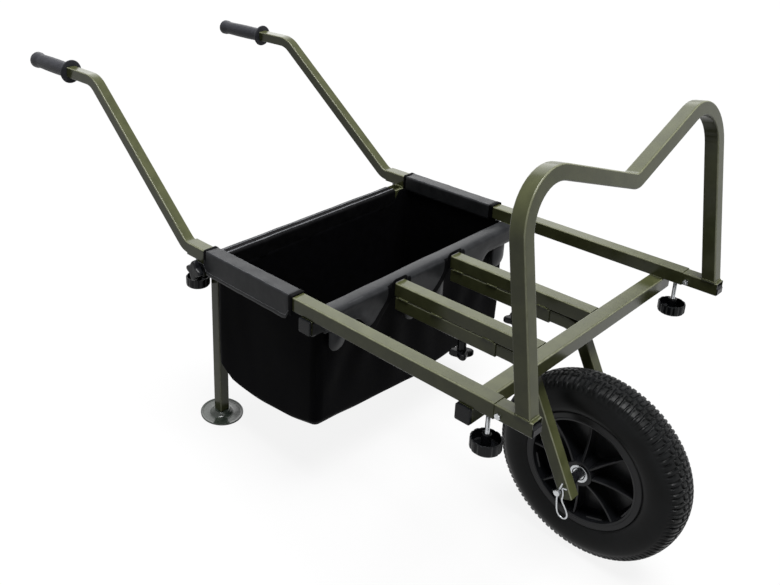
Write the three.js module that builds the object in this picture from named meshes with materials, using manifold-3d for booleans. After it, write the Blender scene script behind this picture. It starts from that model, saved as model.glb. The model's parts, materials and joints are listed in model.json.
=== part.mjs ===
// A one-wheel fishing trolley: a welded square-tube chassis with a cloth bag, telescoping handles,
// legs, front bar and wheel fork, each held by a hand knob.
// Chassis axes: +X forward, +Y left, +Z up, with x = 0 at the side rails' front ends, y = 0 on the
// centre plane and z = 0 at the side rails' top. All lengths are in millimetres.
import * as THREE from 'three';
import { mergeVertices } from 'three/addons/utils/BufferGeometryUtils.js';
import Module from 'manifold-3d';

const wasm = await Module();
wasm.setup();

// Welded frame
const FRAME_WIDTH = 684;
const RAIL_LENGTH = 788;
const TUBE_SECTION = 30;
const TUBE_WALL = 1.2;
const TUBE_CORNER = 3;
const FRONT_CROSSBAR_SETBACK = 52;
const MIDDLE_CROSSBAR_SETBACK = 416;
const REAR_CROSSBAR_INSET = 47;
const INNER_RAIL_SPACING = 185;
const RECEIVER_WALL = 2.2;
const RECEIVER_SETBACK = 152;
const RECEIVER_LENGTH = 242;
const SLIDE_CLEARANCE = 0.3;
const SEAT_GAP = 0.3;
const CAP_HEAD = 6;
const CLAMP_PLUG_HEAD = 3;
const CAP_PLUG_DEPTH = 14;
const CAP_BEVEL = 1;
const CUT_OVERRUN = 5;

// Front bar
const STUB_INSERTION = 140;
const STUB_REACH = 68;
const BAR_BASE_AHEAD = 49;
const BAR_LEAN_DEG = 8.3;
const BAR_SHOULDER_HEIGHT = 392;
const BAR_VALLEY_HEIGHT = 285;
const BAR_SHOULDER_RADIUS = 82;
const BAR_VALLEY_RADIUS = 34;
const STUB_PLUG_DEPTH = 18;
const STUB_PLUG_STANDOUT = 2;
const STUB_PLUG_TOP_DROP = 8;
const STOP_BOLT_AHEAD = 9;
const STOP_BOLT_DROP = 19;
const STOP_BOLT_DIAMETER = 6;
const HEX_ACROSS_FLATS = 10;
const BOLT_HEAD_HEIGHT = 4;
const NUT_HEIGHT = 5;
const BOLT_TIP_STANDOUT = 2.5;

// Handles
const HANDLE_SECTION = 26;
const HANDLE_INSERTION = 130;
const HANDLE_BEND_START = 1;
const HANDLE_RISE_DEG = 39;
const HANDLE_HEIGHT = 282;
const HANDLE_LEAN_DEG = 2.5;
const HANDLE_LOWER_RADIUS = 36;
const HANDLE_UPPER_RADIUS = 60;
const HANDLE_FLANGE_BEHIND = 490;
const GRIP_LENGTH = 176;
const GRIP_RADIUS = 18;
const GRIP_FLARE_RADIUS = 20.5;
const GRIP_FLARE_LENGTH = 12;
const GRIP_END_WALL = 4;
const GRIP_FLANGE_RADIUS = 29;
const GRIP_FLANGE_THICKNESS = 6;

// Wheel and fork
const WHEEL_RADIUS = 184;
const TYRE_WIDTH = 90;
const TYRE_WALL = 8;
const RIM_SEAT_RADIUS = 104;
const RIM_LIP_RADIUS = 117;
const RIM_WIDTH = 78;
const RIM_WALL = 3;
const RIM_WEB = 8;
const RIM_RIB_WIDTH = 5;
const RIM_RIB_DEPTH_AT_HUB = 90;
const RIM_RIB_DEPTH_MIDWAY = 56;
const RIM_RIB_DEPTH_AT_BARREL = 70;
const RIM_RIB_COUNT = 8;
const HUB_RADIUS = 25;
const HUB_LENGTH = 96;
const BEARING_RADIUS = 17.5;
const BEARING_DEPTH = 12;
const AXLE_DIAMETER = 12;
const AXLE_AHEAD = 13;
const AXLE_DROP = 290;
const AXLE_HEAD_RADIUS = 10;
const AXLE_HEAD_THICKNESS = 5;
const AXLE_TAIL = 21;
const SPACER_RADIUS = 10;
const FORK_RAKE_DEG = 26.5;
const FORK_BEND_RADIUS = 45;
const FORK_END_BELOW_AXLE = 22;
const FORK_ARM_TAIL = 60;
const CLIP_WIRE = 3;
const CLIP_INSET = 9;
const CLIP_LEG_ABOVE = 22;
const CLIP_LEG_BELOW = 34;
const CLIP_LOOP_RADIUS = 7;
const CLIP_TIP_ABOVE = 12;
const CLIP_TIP_FLARE = 5;

// Legs and feet
const LEG_SECTION = 25;
const LEG_TOP_STANDOUT = 2;
const LEG_REACH = 437;
const FOOT_RADIUS = 49.5;
const FOOT_THICKNESS = 3;
const FOOT_DISH = 4;
const FOOT_COLLAR_RADIUS = 21;
const FOOT_COLLAR_HEIGHT = 9;

// Hand knobs
const STUD_DIAMETER = 8;
const CLAMP_STUD_INSET = 16.5;
const KNOB_CLEARANCE = 1;
const CUP_KNOB_DROP = 80;
const CUP_KNOB_RADIUS = 26.5;
const CUP_KNOB_HEIGHT = 22;
const CUP_KNOB_WALL = 3;
const CUP_HUB_RADIUS = 8;
const CUP_HUB_STANDOUT = 9;
const STAR_KNOB_RADIUS = 24;
const STAR_LOBE_DEPTH = 9;
const STAR_KNOB_THICKNESS = 13;
const STAR_HUB_RADIUS = 9;
const LEG_KNOB_HUB_HEIGHT = 6;
const FORK_KNOB_HUB_HEIGHT = 22;
const FORK_KNOB_SETBACK = 83;
const FORK_KNOB_DROP = 5;

// Bag
const BAG_WALL = 3;
const BAG_DEPTH = 288;
const BAG_SIDE_INSET = 26;
const BAG_FLAP_DROP = 50;
const BAG_SLEEVE_FRONT_GAP = 33;
const BAG_FRONT_FLAP_DROP = 88;
const BAG_FLAP_CUTOUT = 38;
const SLEEVE_THICKNESS = 2;
const SLEEVE_END_INSET = 4;

// How finely round shapes are divided
const WHEEL_SEGMENTS = 32;
const KNOB_SEGMENTS = 16;
const ROD_SEGMENTS = 12;
const WIRE_SEGMENTS = 6;
const CLIP_LOOP_STEPS = 8;
const BEND_STEPS = 5;
const RIB_CURVE_STEPS = 6;
const STAR_POINTS_PER_LOBE = 6;
const STAR_LOBES = 4;
const HEX_SIDES = 6;

// The tyre's outer half section, from the bead to the crown, as shares of its height over the
// rim seat and of its half width.
const TYRE_SECTION_SHARES = [
  [0, 0.72],
  [0.18, 0.78],
  [0.26, 0.94],
  [0.5, 1],
  [0.75, 0.96],
  [0.92, 0.76],
  [0.98, 0.42],
];

// Paint and material colours
const PAINT = { color: 0x474b34, roughness: 0.42, metalness: 0.35 };
const ZINC = { color: 0xb9bcbe, roughness: 0.3, metalness: 0.9 };
const BLACK_PLASTIC = { color: 0x17181a, roughness: 0.5, metalness: 0 };
const GREY_RUBBER = { color: 0x33343a, roughness: 0.75, metalness: 0 };
const TYRE_RUBBER = { color: 0x17181a, roughness: 0.85, metalness: 0 };
const BAG_CLOTH = { color: 0x15161a, roughness: 0.9, metalness: 0 };

// Sizes that follow from the ones above
const STUB_SECTION = TUBE_SECTION - 2 * (TUBE_WALL + SLIDE_CLEARANCE);
const FORK_SECTION = TUBE_SECTION - 2 * (RECEIVER_WALL + SLIDE_CLEARANCE);
const RAIL_Y = (FRAME_WIDTH - TUBE_SECTION) / 2;
const INNER_RAIL_Y = INNER_RAIL_SPACING / 2;
const RAIL_Z = -TUBE_SECTION / 2;
const CROSSBAR_Z = RAIL_Z - TUBE_SECTION - SEAT_GAP;
const RECEIVER_Z = CROSSBAR_Z - TUBE_SECTION - SEAT_GAP;
const FRONT_CROSSBAR_X = -FRONT_CROSSBAR_SETBACK;
const MIDDLE_CROSSBAR_X = -MIDDLE_CROSSBAR_SETBACK;
const REAR_CROSSBAR_X = REAR_CROSSBAR_INSET - RAIL_LENGTH;
const HANDLE_LEAN = THREE.MathUtils.degToRad(HANDLE_LEAN_DEG);
const HANDLE_HALF_REACH = (HANDLE_SECTION / 2) * Math.cos(HANDLE_LEAN)
  + (HANDLE_SECTION / 2 - TUBE_CORNER) * Math.sin(HANDLE_LEAN);
const LEG_BEHIND_KNOB = REAR_CROSSBAR_X - LEG_SECTION / 2 + RAIL_LENGTH - CLAMP_STUD_INSET;
const LEG_BESIDE_KNOB = Math.sqrt(Math.max(0, (CUP_KNOB_RADIUS + KNOB_CLEARANCE) ** 2 - LEG_BEHIND_KNOB ** 2));
const LEG_Y = RAIL_Y - LEG_SECTION / 2 - Math.max(TUBE_SECTION / 2 + SEAT_GAP, LEG_BESIDE_KNOB);
const STUD_BORE = STUD_DIAMETER / 2 + SEAT_GAP;
const AXLE_BORE = AXLE_DIAMETER / 2 + SEAT_GAP;
const FORK_OUTER_Y = INNER_RAIL_Y + FORK_SECTION / 2;
const FORK_INNER_Y = INNER_RAIL_Y - FORK_SECTION / 2;
const HALF_FACET_DEG = 180 / WHEEL_SEGMENTS;

// A plane that a bent tube lies in: its two directions, and the one square to both.
function planeOf(u, v) {
  return { u, v, w: new THREE.Vector3().crossVectors(u, v) };
}

const X = new THREE.Vector3(1, 0, 0);
const Y = new THREE.Vector3(0, 1, 0);
const Z = new THREE.Vector3(0, 0, 1);
const SIDE_PLANE = planeOf(X, Z);
const CROSS_PLANE = planeOf(Y, Z);

function direction(from, to) {
  const length = Math.hypot(to[0] - from[0], to[1] - from[1]);
  return [(to[0] - from[0]) / length, (to[1] - from[1]) / length];
}

// Stations along a line of corners, with each inner corner rounded to its own radius.
function bendPath(corners, radii = [], steps = BEND_STEPS) {
  const path = [{ at: corners[0], along: direction(corners[0], corners[1]) }];
  for (let k = 1; k < corners.length - 1; k += 1) {
    const before = direction(corners[k - 1], corners[k]);
    const after = direction(corners[k], corners[k + 1]);
    const turn = Math.atan2(
      before[0] * after[1] - before[1] * after[0],
      before[0] * after[0] + before[1] * after[1],
    );
    const reach = radii[k - 1] * Math.tan(Math.abs(turn) / 2);
    const side = Math.sign(turn) * radii[k - 1];
    const centre = [
      corners[k][0] - before[0] * reach - before[1] * side,
      corners[k][1] - before[1] * reach + before[0] * side,
    ];
    for (let step = 0; step <= steps; step += 1) {
      const angle = (turn * step) / steps;
      const along = [
        before[0] * Math.cos(angle) - before[1] * Math.sin(angle),
        before[0] * Math.sin(angle) + before[1] * Math.cos(angle),
      ];
      path.push({ at: [centre[0] + along[1] * side, centre[1] - along[0] * side], along });
    }
  }
  const last = corners.length - 1;
  path.push({ at: corners[last], along: direction(corners[last - 1], corners[last]) });
  return path;
}

// A square outline with each corner cut off, counter-clockwise.
function cutSquare(section, corner) {
  const half = section / 2;
  const flat = half - corner;
  return [
    [half, -flat], [half, flat], [flat, half], [-flat, half],
    [-half, flat], [-half, -flat], [-flat, -half], [flat, -half],
  ];
}

function ringPoints(station, outline, plane) {
  const { at, along } = station;
  return outline.map(([across, side]) => new THREE.Vector3()
    .addScaledVector(plane.u, at[0] - along[1] * across)
    .addScaledVector(plane.v, at[1] + along[0] * across)
    .addScaledVector(plane.w, side));
}

// A square tube swept along a path, open at both ends.
function tubeGeometry(path, plane, section, wall) {
  const outer = cutSquare(section, TUBE_CORNER);
  const inner = cutSquare(section - 2 * wall, TUBE_CORNER - wall / 2);
  const count = outer.length;
  const points = [];
  for (const station of path) {
    points.push(...ringPoints(station, outer, plane), ...ringPoints(station, inner, plane));
  }
  const index = [];
  const quad = (a, b, c, d) => index.push(a, b, c, a, c, d);
  const ring = 2 * count;
  const last = (path.length - 1) * ring;
  for (let j = 0; j < count; j += 1) {
    const next = (j + 1) % count;
    for (let i = 0; i < last; i += ring) {
      quad(i + j, i + next, i + ring + next, i + ring + j);
      quad(i + count + next, i + count + j, i + ring + count + j, i + ring + count + next);
    }
    quad(next, j, count + j, count + next);
    quad(last + j, last + next, last + count + next, last + count + j);
  }
  const geometry = new THREE.BufferGeometry().setFromPoints(points);
  geometry.setIndex(index);
  return geometry;
}

// A closed solid from any closed geometry, with its faces turned outwards.
function solidOf(source) {
  const plain = source.clone();
  plain.deleteAttribute('normal');
  plain.deleteAttribute('uv');
  const merged = mergeVertices(plain);
  const positions = merged.attributes.position;
  const corners = [0, 1, 2].map(() => new THREE.Vector3());
  const triangles = [];
  let volume = 0;
  for (let i = 0; i < merged.index.count; i += 3) {
    const [a, b, c] = [0, 1, 2].map((k) => merged.index.getX(i + k));
    if (a === b || b === c || c === a) continue;
    triangles.push(a, b, c);
    [a, b, c].forEach((at, k) => corners[k].fromBufferAttribute(positions, at));
    volume += corners[0].dot(corners[1].cross(corners[2]));
  }
  if (volume < 0) triangles.reverse();
  return new wasm.Manifold(new wasm.Mesh({
    numProp: 3,
    vertProperties: new Float32Array(positions.array),
    triVerts: new Uint32Array(triangles),
  }));
}

function geometryOf(solid) {
  const { vertProperties, triVerts } = solid.getMesh();
  const geometry = new THREE.BufferGeometry();
  geometry.setAttribute('position', new THREE.BufferAttribute(new Float32Array(vertProperties), 3));
  geometry.setIndex(Array.from(triVerts));
  return geometry;
}

function piece(name, solid, material, parent, position = [0, 0, 0]) {
  const finish = new THREE.MeshStandardMaterial({ ...material, flatShading: true });
  const mesh = new THREE.Mesh(geometryOf(solid), finish);
  mesh.name = name;
  mesh.position.set(...position);
  parent.add(mesh);
  return mesh;
}

function box(x0, x1, y0, y1, z0, z1) {
  const geometry = new THREE.BoxGeometry(x1 - x0, y1 - y0, z1 - z0);
  geometry.translate((x0 + x1) / 2, (y0 + y1) / 2, (z0 + z1) / 2);
  return solidOf(geometry);
}

// A round bar about the local Z axis.
function rod(radius, z0, z1, segments = ROD_SEGMENTS) {
  const geometry = new THREE.CylinderGeometry(radius, radius, z1 - z0, segments);
  geometry.rotateX(Math.PI / 2);
  geometry.translate(0, 0, (z0 + z1) / 2);
  return solidOf(geometry);
}

function outlineShape(points) {
  return new THREE.Shape(points.map(([a, b]) => new THREE.Vector2(a, b)));
}

// A solid bar with a tube's cut corners, along the local Z axis.
function squareBar(section, z0, z1) {
  const shape = outlineShape(cutSquare(section, TUBE_CORNER));
  const geometry = new THREE.ExtrudeGeometry(shape, { depth: z1 - z0, bevelEnabled: false });
  return solidOf(geometry.translate(0, 0, z0));
}

// A turned solid about the local Z axis from [radius, height] pairs.
function turned(profile, segments) {
  const closed = profile.map(([radius, height]) => new THREE.Vector2(radius, height));
  if (profile[0][0] > 0) closed.push(closed[0].clone());
  const geometry = new THREE.LatheGeometry(closed, segments);
  geometry.rotateX(Math.PI / 2);
  return solidOf(geometry);
}

function turnZtoY(solid, sign = 1) {
  return solid.rotate([-90 * sign, 0, 0]);
}

function straightTube(from, to, plane, section, wall) {
  return solidOf(tubeGeometry(bendPath([from, to]), plane, section, wall));
}

const SIDES = [['left', 1], ['right', -1]];

// The trolley stands on its wheel and its feet, so its rails rise a little towards the front.
function standAngle() {
  const back = AXLE_AHEAD - REAR_CROSSBAR_X;
  const down = LEG_REACH - AXLE_DROP;
  return Math.asin(WHEEL_RADIUS / Math.hypot(back, down)) - Math.atan2(down, back);
}

const trolley = new THREE.Group();
const stance = new THREE.Group();
stance.position.z = WHEEL_RADIUS;
trolley.add(stance);
const tilted = new THREE.Group();
tilted.rotation.y = -standAngle();
stance.add(tilted);
const chassis = new THREE.Group();
chassis.position.set(-AXLE_AHEAD, 0, AXLE_DROP);
tilted.add(chassis);

function addWeldedFrame() {
  const studHole = (x) => rod(STUD_BORE, -TUBE_SECTION, 0).translate([x, 0, 0]);
  for (const [side, sign] of SIDES) {
    const rail = straightTube([-RAIL_LENGTH, 0], [0, 0], SIDE_PLANE, TUBE_SECTION, TUBE_WALL)
      .subtract(studHole(-CLAMP_STUD_INSET))
      .subtract(studHole(CLAMP_STUD_INSET - RAIL_LENGTH));
    piece(`side_rail_${side}`, rail, PAINT, chassis, [0, sign * RAIL_Y, RAIL_Z]);
  }

  const half = FRAME_WIDTH / 2;
  const crossbar = straightTube([-half, 0], [half, 0], CROSS_PLANE, TUBE_SECTION, TUBE_WALL);
  const legHole = LEG_SECTION / 2 + SEAT_GAP;
  const deep = TUBE_SECTION;
  const legCut = (y) => box(-legHole, legHole, y - legHole, y + legHole, -deep, deep);
  piece('crossbar_front', crossbar, PAINT, chassis, [FRONT_CROSSBAR_X, 0, CROSSBAR_Z]);
  piece('crossbar_middle', crossbar, PAINT, chassis, [MIDDLE_CROSSBAR_X, 0, CROSSBAR_Z]);
  piece(
    'crossbar_rear',
    crossbar.subtract(legCut(LEG_Y)).subtract(legCut(-LEG_Y)),
    PAINT,
    chassis,
    [REAR_CROSSBAR_X, 0, CROSSBAR_Z],
  );

  const innerFront = FRONT_CROSSBAR_X - TUBE_SECTION / 2 - SEAT_GAP;
  const innerRear = MIDDLE_CROSSBAR_X + TUBE_SECTION / 2 + SEAT_GAP;
  const innerRail = straightTube([innerRear, 0], [innerFront, 0], SIDE_PLANE, TUBE_SECTION, TUBE_WALL);
  const receiver = straightTube([-RECEIVER_LENGTH, 0], [0, 0], SIDE_PLANE, TUBE_SECTION, RECEIVER_WALL)
    .subtract(studHole(-FORK_KNOB_SETBACK));
  for (const [side, sign] of SIDES) {
    piece(`inner_rail_${side}`, innerRail, PAINT, chassis, [0, sign * INNER_RAIL_Y, CROSSBAR_Z]);
    piece(`fork_receiver_${side}`, receiver, PAINT, chassis,
      [-RECEIVER_SETBACK, sign * INNER_RAIL_Y, RECEIVER_Z]);
  }
}

// A moulded plug pushed into a tube's end: local Z points out of the tube, and z = 0 is its end.
function endCap(headHeight, bore) {
  const head = solidOf(new THREE.ExtrudeGeometry(outlineShape(cutSquare(TUBE_SECTION, TUBE_CORNER)), {
    depth: headHeight - 2 * CAP_BEVEL,
    bevelThickness: CAP_BEVEL,
    bevelSize: CAP_BEVEL,
    bevelOffset: -CAP_BEVEL,
    bevelSegments: 1,
  })).translate([0, 0, CAP_BEVEL + SEAT_GAP]);
  const plug = squareBar(STUB_SECTION, -CAP_PLUG_DEPTH, SEAT_GAP + CAP_BEVEL);
  const cap = head.add(plug);
  return bore ? cap.subtract(rod(bore, -CAP_PLUG_DEPTH - CUT_OVERRUN, headHeight + CUT_OVERRUN)) : cap;
}

function addEndCaps() {
  const places = [
    ['end_cap_front', FRONT_CROSSBAR_X, endCap(CAP_HEAD, 0)],
    ['end_cap_middle', MIDDLE_CROSSBAR_X, endCap(CAP_HEAD, 0)],
    ['clamp_plug', REAR_CROSSBAR_X, endCap(CLAMP_PLUG_HEAD, STUD_BORE)],
  ];
  for (const [name, x, cap] of places) {
    for (const [side, sign] of SIDES) {
      piece(`${name}_${side}`, turnZtoY(cap, sign), BLACK_PLASTIC, chassis,
        [x, (sign * FRAME_WIDTH) / 2, CROSSBAR_Z]);
    }
  }
}

function hexBar(z0, z1) {
  return rod(HEX_ACROSS_FLATS / Math.sqrt(3), z0, z1, HEX_SIDES);
}

function addFrontBar() {
  const boltBore = STOP_BOLT_DIAMETER / 2 + SEAT_GAP;
  const boltZ = -STOP_BOLT_DROP - RAIL_Z;
  const half = STUB_SECTION / 2;
  const boltHole = turnZtoY(rod(boltBore, -TUBE_SECTION, TUBE_SECTION)).translate([STOP_BOLT_AHEAD, 0, boltZ]);
  const stub = straightTube([-STUB_INSERTION, 0], [STUB_REACH, 0], SIDE_PLANE, STUB_SECTION, TUBE_WALL)
    .subtract(boltHole);
  const inside = STUB_SECTION - 2 * (TUBE_WALL + SLIDE_CLEARANCE);
  const plug = squareBar(inside, STUB_REACH - STUB_PLUG_DEPTH, STUB_REACH + STUB_PLUG_STANDOUT)
    .rotate([0, 90, 0])
    .subtract(box(0, FRAME_WIDTH, -inside, inside, inside / 2 - STUB_PLUG_TOP_DROP, inside));
  for (const [side, sign] of SIDES) {
    piece(`front_stub_${side}`, stub, PAINT, chassis, [0, sign * RAIL_Y, RAIL_Z]);
    piece(`stub_plug_${side}`, plug, BLACK_PLASTIC, chassis, [0, sign * RAIL_Y, RAIL_Z]);

    const nutFace = -half - SEAT_GAP;
    const tip = nutFace - NUT_HEIGHT - BOLT_TIP_STANDOUT;
    const headFace = half + SEAT_GAP;
    const bolt = rod(STOP_BOLT_DIAMETER / 2, tip, headFace + BOLT_HEAD_HEIGHT / 2)
      .add(hexBar(headFace, headFace + BOLT_HEAD_HEIGHT));
    const nut = hexBar(nutFace - NUT_HEIGHT, nutFace)
      .subtract(rod(boltBore, tip, headFace));
    const place = [STOP_BOLT_AHEAD, sign * RAIL_Y, RAIL_Z + boltZ];
    piece(`stop_bolt_${side}`, turnZtoY(bolt, sign), ZINC, chassis, place);
    piece(`stop_nut_${side}`, turnZtoY(nut, sign), ZINC, chassis, place);
  }

  const lean = THREE.MathUtils.degToRad(BAR_LEAN_DEG);
  const upright = new THREE.Vector3(-Math.sin(lean), 0, Math.cos(lean));
  const below = -TUBE_SECTION;
  const path = bendPath(
    [
      [-RAIL_Y, below],
      [-RAIL_Y, BAR_SHOULDER_HEIGHT],
      [0, BAR_VALLEY_HEIGHT],
      [RAIL_Y, BAR_SHOULDER_HEIGHT],
      [RAIL_Y, below],
    ],
    [BAR_SHOULDER_RADIUS, BAR_VALLEY_RADIUS, BAR_SHOULDER_RADIUS],
  );
  const stubTop = RAIL_Z + half + SEAT_GAP;
  const bar = solidOf(tubeGeometry(path, planeOf(Y, upright), STUB_SECTION, TUBE_WALL))
    .translate([BAR_BASE_AHEAD, 0, 0])
    .subtract(box(-FRAME_WIDTH, FRAME_WIDTH, -FRAME_WIDTH, FRAME_WIDTH, -FRAME_WIDTH, stubTop));
  piece('front_bar', bar, PAINT, chassis);
}

// The handles' centre line in the chassis' x and z, from inside the rail to the grip's end. The
// play in the rails lets both handles lean inwards a little.
function handleLine() {
  const z = RAIL_Z;
  const rise = THREE.MathUtils.degToRad(HANDLE_RISE_DEG);
  const foot = -RAIL_LENGTH - HANDLE_BEND_START - HANDLE_LOWER_RADIUS * Math.tan(rise / 2);
  const head = foot - (HANDLE_HEIGHT - z) / Math.tan(rise);
  const flange = -RAIL_LENGTH - HANDLE_FLANGE_BEHIND;
  return {
    corners: [
      [HANDLE_INSERTION - RAIL_LENGTH, z],
      [foot, z],
      [head, HANDLE_HEIGHT],
      [flange - GRIP_LENGTH + GRIP_END_WALL + SEAT_GAP, HANDLE_HEIGHT],
    ],
    flange,
  };
}

function addHandles() {
  const { corners, flange } = handleLine();
  const path = bendPath(corners, [HANDLE_LOWER_RADIUS, HANDLE_UPPER_RADIUS]);
  const tube = solidOf(tubeGeometry(path, SIDE_PLANE, HANDLE_SECTION, TUBE_WALL));
  const tubeZ = corners[0][1];
  const grip = turned([
    [0, 0],
    [GRIP_FLANGE_RADIUS - GRIP_FLANGE_THICKNESS / 4, 0],
    [GRIP_FLANGE_RADIUS, GRIP_FLANGE_THICKNESS / 4],
    [GRIP_FLANGE_RADIUS, (GRIP_FLANGE_THICKNESS * 3) / 4],
    [GRIP_FLANGE_RADIUS - GRIP_FLANGE_THICKNESS / 4, GRIP_FLANGE_THICKNESS],
    [GRIP_RADIUS, GRIP_FLANGE_THICKNESS],
    [GRIP_RADIUS, GRIP_LENGTH - 2 * GRIP_FLARE_LENGTH],
    [GRIP_FLARE_RADIUS, GRIP_LENGTH - GRIP_FLARE_LENGTH],
    [GRIP_FLARE_RADIUS, GRIP_LENGTH - GRIP_FLARE_LENGTH / 4],
    [GRIP_FLARE_RADIUS - GRIP_FLARE_LENGTH / 4, GRIP_LENGTH],
    [0, GRIP_LENGTH],
  ], KNOB_SEGMENTS);
  const socket = squareBar(HANDLE_SECTION + 2 * SEAT_GAP, -CUT_OVERRUN, GRIP_LENGTH - GRIP_END_WALL);
  const gripSolid = grip.subtract(socket).rotate([0, -90, 0]).translate([flange, 0, HANDLE_HEIGHT - tubeZ]);
  const tubeSolid = tube.translate([0, 0, -tubeZ]);
  for (const [side, sign] of SIDES) {
    const place = [0, sign * RAIL_Y, tubeZ];
    const lean = [sign * HANDLE_LEAN_DEG, 0, 0];
    piece(`handle_${side}`, tubeSolid.rotate(lean), PAINT, chassis, place);
    piece(`grip_${side}`, gripSolid.rotate(lean), GREY_RUBBER, chassis, place);
  }
}

function addLegs() {
  const bottom = -LEG_REACH + FOOT_THICKNESS + FOOT_COLLAR_HEIGHT + 4 * SEAT_GAP;
  const top = CROSSBAR_Z + TUBE_SECTION / 2 + LEG_TOP_STANDOUT;
  const leg = straightTube([0, bottom], [0, top], CROSS_PLANE, LEG_SECTION, TUBE_WALL);
  const foot = turned([
    [0, 0],
    [FOOT_RADIUS, 0],
    [FOOT_RADIUS, FOOT_DISH],
    [FOOT_RADIUS - FOOT_THICKNESS, FOOT_DISH],
    [FOOT_RADIUS - 2 * FOOT_THICKNESS, FOOT_THICKNESS],
    [FOOT_COLLAR_RADIUS + FOOT_THICKNESS, FOOT_THICKNESS],
    [FOOT_COLLAR_RADIUS, FOOT_THICKNESS + FOOT_COLLAR_HEIGHT],
    [0, FOOT_THICKNESS + FOOT_COLLAR_HEIGHT],
  ], KNOB_SEGMENTS);
  const angle = standAngle();
  const back = REAR_CROSSBAR_X - AXLE_AHEAD;
  const down = AXLE_DROP - LEG_REACH;
  const footX = back * Math.cos(angle) - down * Math.sin(angle);
  for (const [side, sign] of SIDES) {
    piece(`leg_${side}`, leg, PAINT, chassis, [REAR_CROSSBAR_X, sign * LEG_Y, 0]);
    piece(`foot_${side}`, foot, PAINT, stance, [footX, sign * LEG_Y, -WHEEL_RADIUS]);
  }
}

function cupKnob() {
  const outer = CUP_KNOB_RADIUS;
  const floor = CUP_KNOB_WALL - CUP_KNOB_HEIGHT;
  return turned([
    [0, -CUP_KNOB_HEIGHT],
    [outer - CUP_KNOB_WALL, -CUP_KNOB_HEIGHT],
    [outer, -CUP_KNOB_HEIGHT + CUP_KNOB_WALL],
    [outer, 0],
    [outer - CUP_KNOB_WALL, 0],
    [outer - CUP_KNOB_WALL, floor],
    [CUP_HUB_RADIUS, floor],
    [CUP_HUB_RADIUS, CUP_HUB_STANDOUT],
    [STUD_BORE, CUP_HUB_STANDOUT],
    [STUD_BORE, floor],
    [0, floor],
  ], KNOB_SEGMENTS);
}

// A lobed knob: local Z points to the stud, and z = 0 is the lobes' far face.
function starKnob(hubHeight) {
  const lobed = new THREE.Shape();
  const count = STAR_LOBES * STAR_POINTS_PER_LOBE;
  for (let i = 0; i < count; i += 1) {
    const angle = (2 * Math.PI * i) / count;
    const radius = STAR_KNOB_RADIUS - (STAR_LOBE_DEPTH * (1 + Math.cos(STAR_LOBES * angle))) / 2;
    const point = [radius * Math.cos(angle), radius * Math.sin(angle)];
    if (i === 0) lobed.moveTo(...point);
    else lobed.lineTo(...point);
  }
  lobed.closePath();
  const plate = solidOf(new THREE.ExtrudeGeometry(lobed, { depth: STAR_KNOB_THICKNESS, bevelEnabled: false }));
  const top = STAR_KNOB_THICKNESS + hubHeight;
  return plate
    .add(rod(STAR_HUB_RADIUS, STAR_KNOB_THICKNESS / 2, top, KNOB_SEGMENTS))
    .subtract(rod(STUD_BORE, STAR_KNOB_THICKNESS / 2, top + CUT_OVERRUN));
}

function addKnobs() {
  const forkStar = starKnob(FORK_KNOB_HUB_HEIGHT);
  const legStar = starKnob(LEG_KNOB_HUB_HEIGHT);
  const cup = cupKnob();
  const stubBottom = RAIL_Z - STUB_SECTION / 2 - SEAT_GAP;
  const handleBottom = RAIL_Z - HANDLE_HALF_REACH - SEAT_GAP;
  const cupFloor = -CUP_KNOB_DROP - CUP_KNOB_HEIGHT + CUP_KNOB_WALL + SEAT_GAP;
  const clamps = [
    ['front', -CLAMP_STUD_INSET, stubBottom],
    ['rear', CLAMP_STUD_INSET - RAIL_LENGTH, handleBottom],
  ];
  const armBottom = -FORK_SECTION / 2 - SEAT_GAP;
  const starSeat = STAR_KNOB_THICKNESS / 2 + SEAT_GAP;
  const starDrop = -TUBE_SECTION / 2 - FORK_KNOB_DROP - FORK_KNOB_HUB_HEIGHT - STAR_KNOB_THICKNESS;
  const legFace = LEG_Y + LEG_SECTION / 2 + SEAT_GAP;
  const plugFace = FRAME_WIDTH / 2 + SEAT_GAP + CLAMP_PLUG_HEAD;
  const starFace = plugFace + SEAT_GAP + LEG_KNOB_HUB_HEIGHT + STAR_KNOB_THICKNESS;
  for (const [side, sign] of SIDES) {
    for (const [where, x, top] of clamps) {
      piece(`clamp_stud_${where}_${side}`, rod(STUD_DIAMETER / 2, cupFloor, top), ZINC, chassis,
        [x, sign * RAIL_Y, 0]);
      piece(`clamp_knob_${where}_${side}`, cup, BLACK_PLASTIC, chassis,
        [x, sign * RAIL_Y, -CUP_KNOB_DROP]);
    }
    const receiverAt = [-RECEIVER_SETBACK - FORK_KNOB_SETBACK, sign * INNER_RAIL_Y, RECEIVER_Z];
    piece(`fork_stud_${side}`, rod(STUD_DIAMETER / 2, starDrop + starSeat, armBottom), ZINC, chassis, receiverAt);
    piece(`fork_knob_${side}`, forkStar, BLACK_PLASTIC, chassis,
      [receiverAt[0], receiverAt[1], receiverAt[2] + starDrop]);

    const stud = rod(STUD_DIAMETER / 2, legFace, starFace - starSeat);
    piece(`leg_stud_${side}`, turnZtoY(stud, sign), ZINC, chassis, [REAR_CROSSBAR_X, 0, CROSSBAR_Z]);
    piece(`leg_knob_${side}`, turnZtoY(legStar, -sign), BLACK_PLASTIC, chassis,
      [REAR_CROSSBAR_X, sign * starFace, CROSSBAR_Z]);
  }
}

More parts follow.
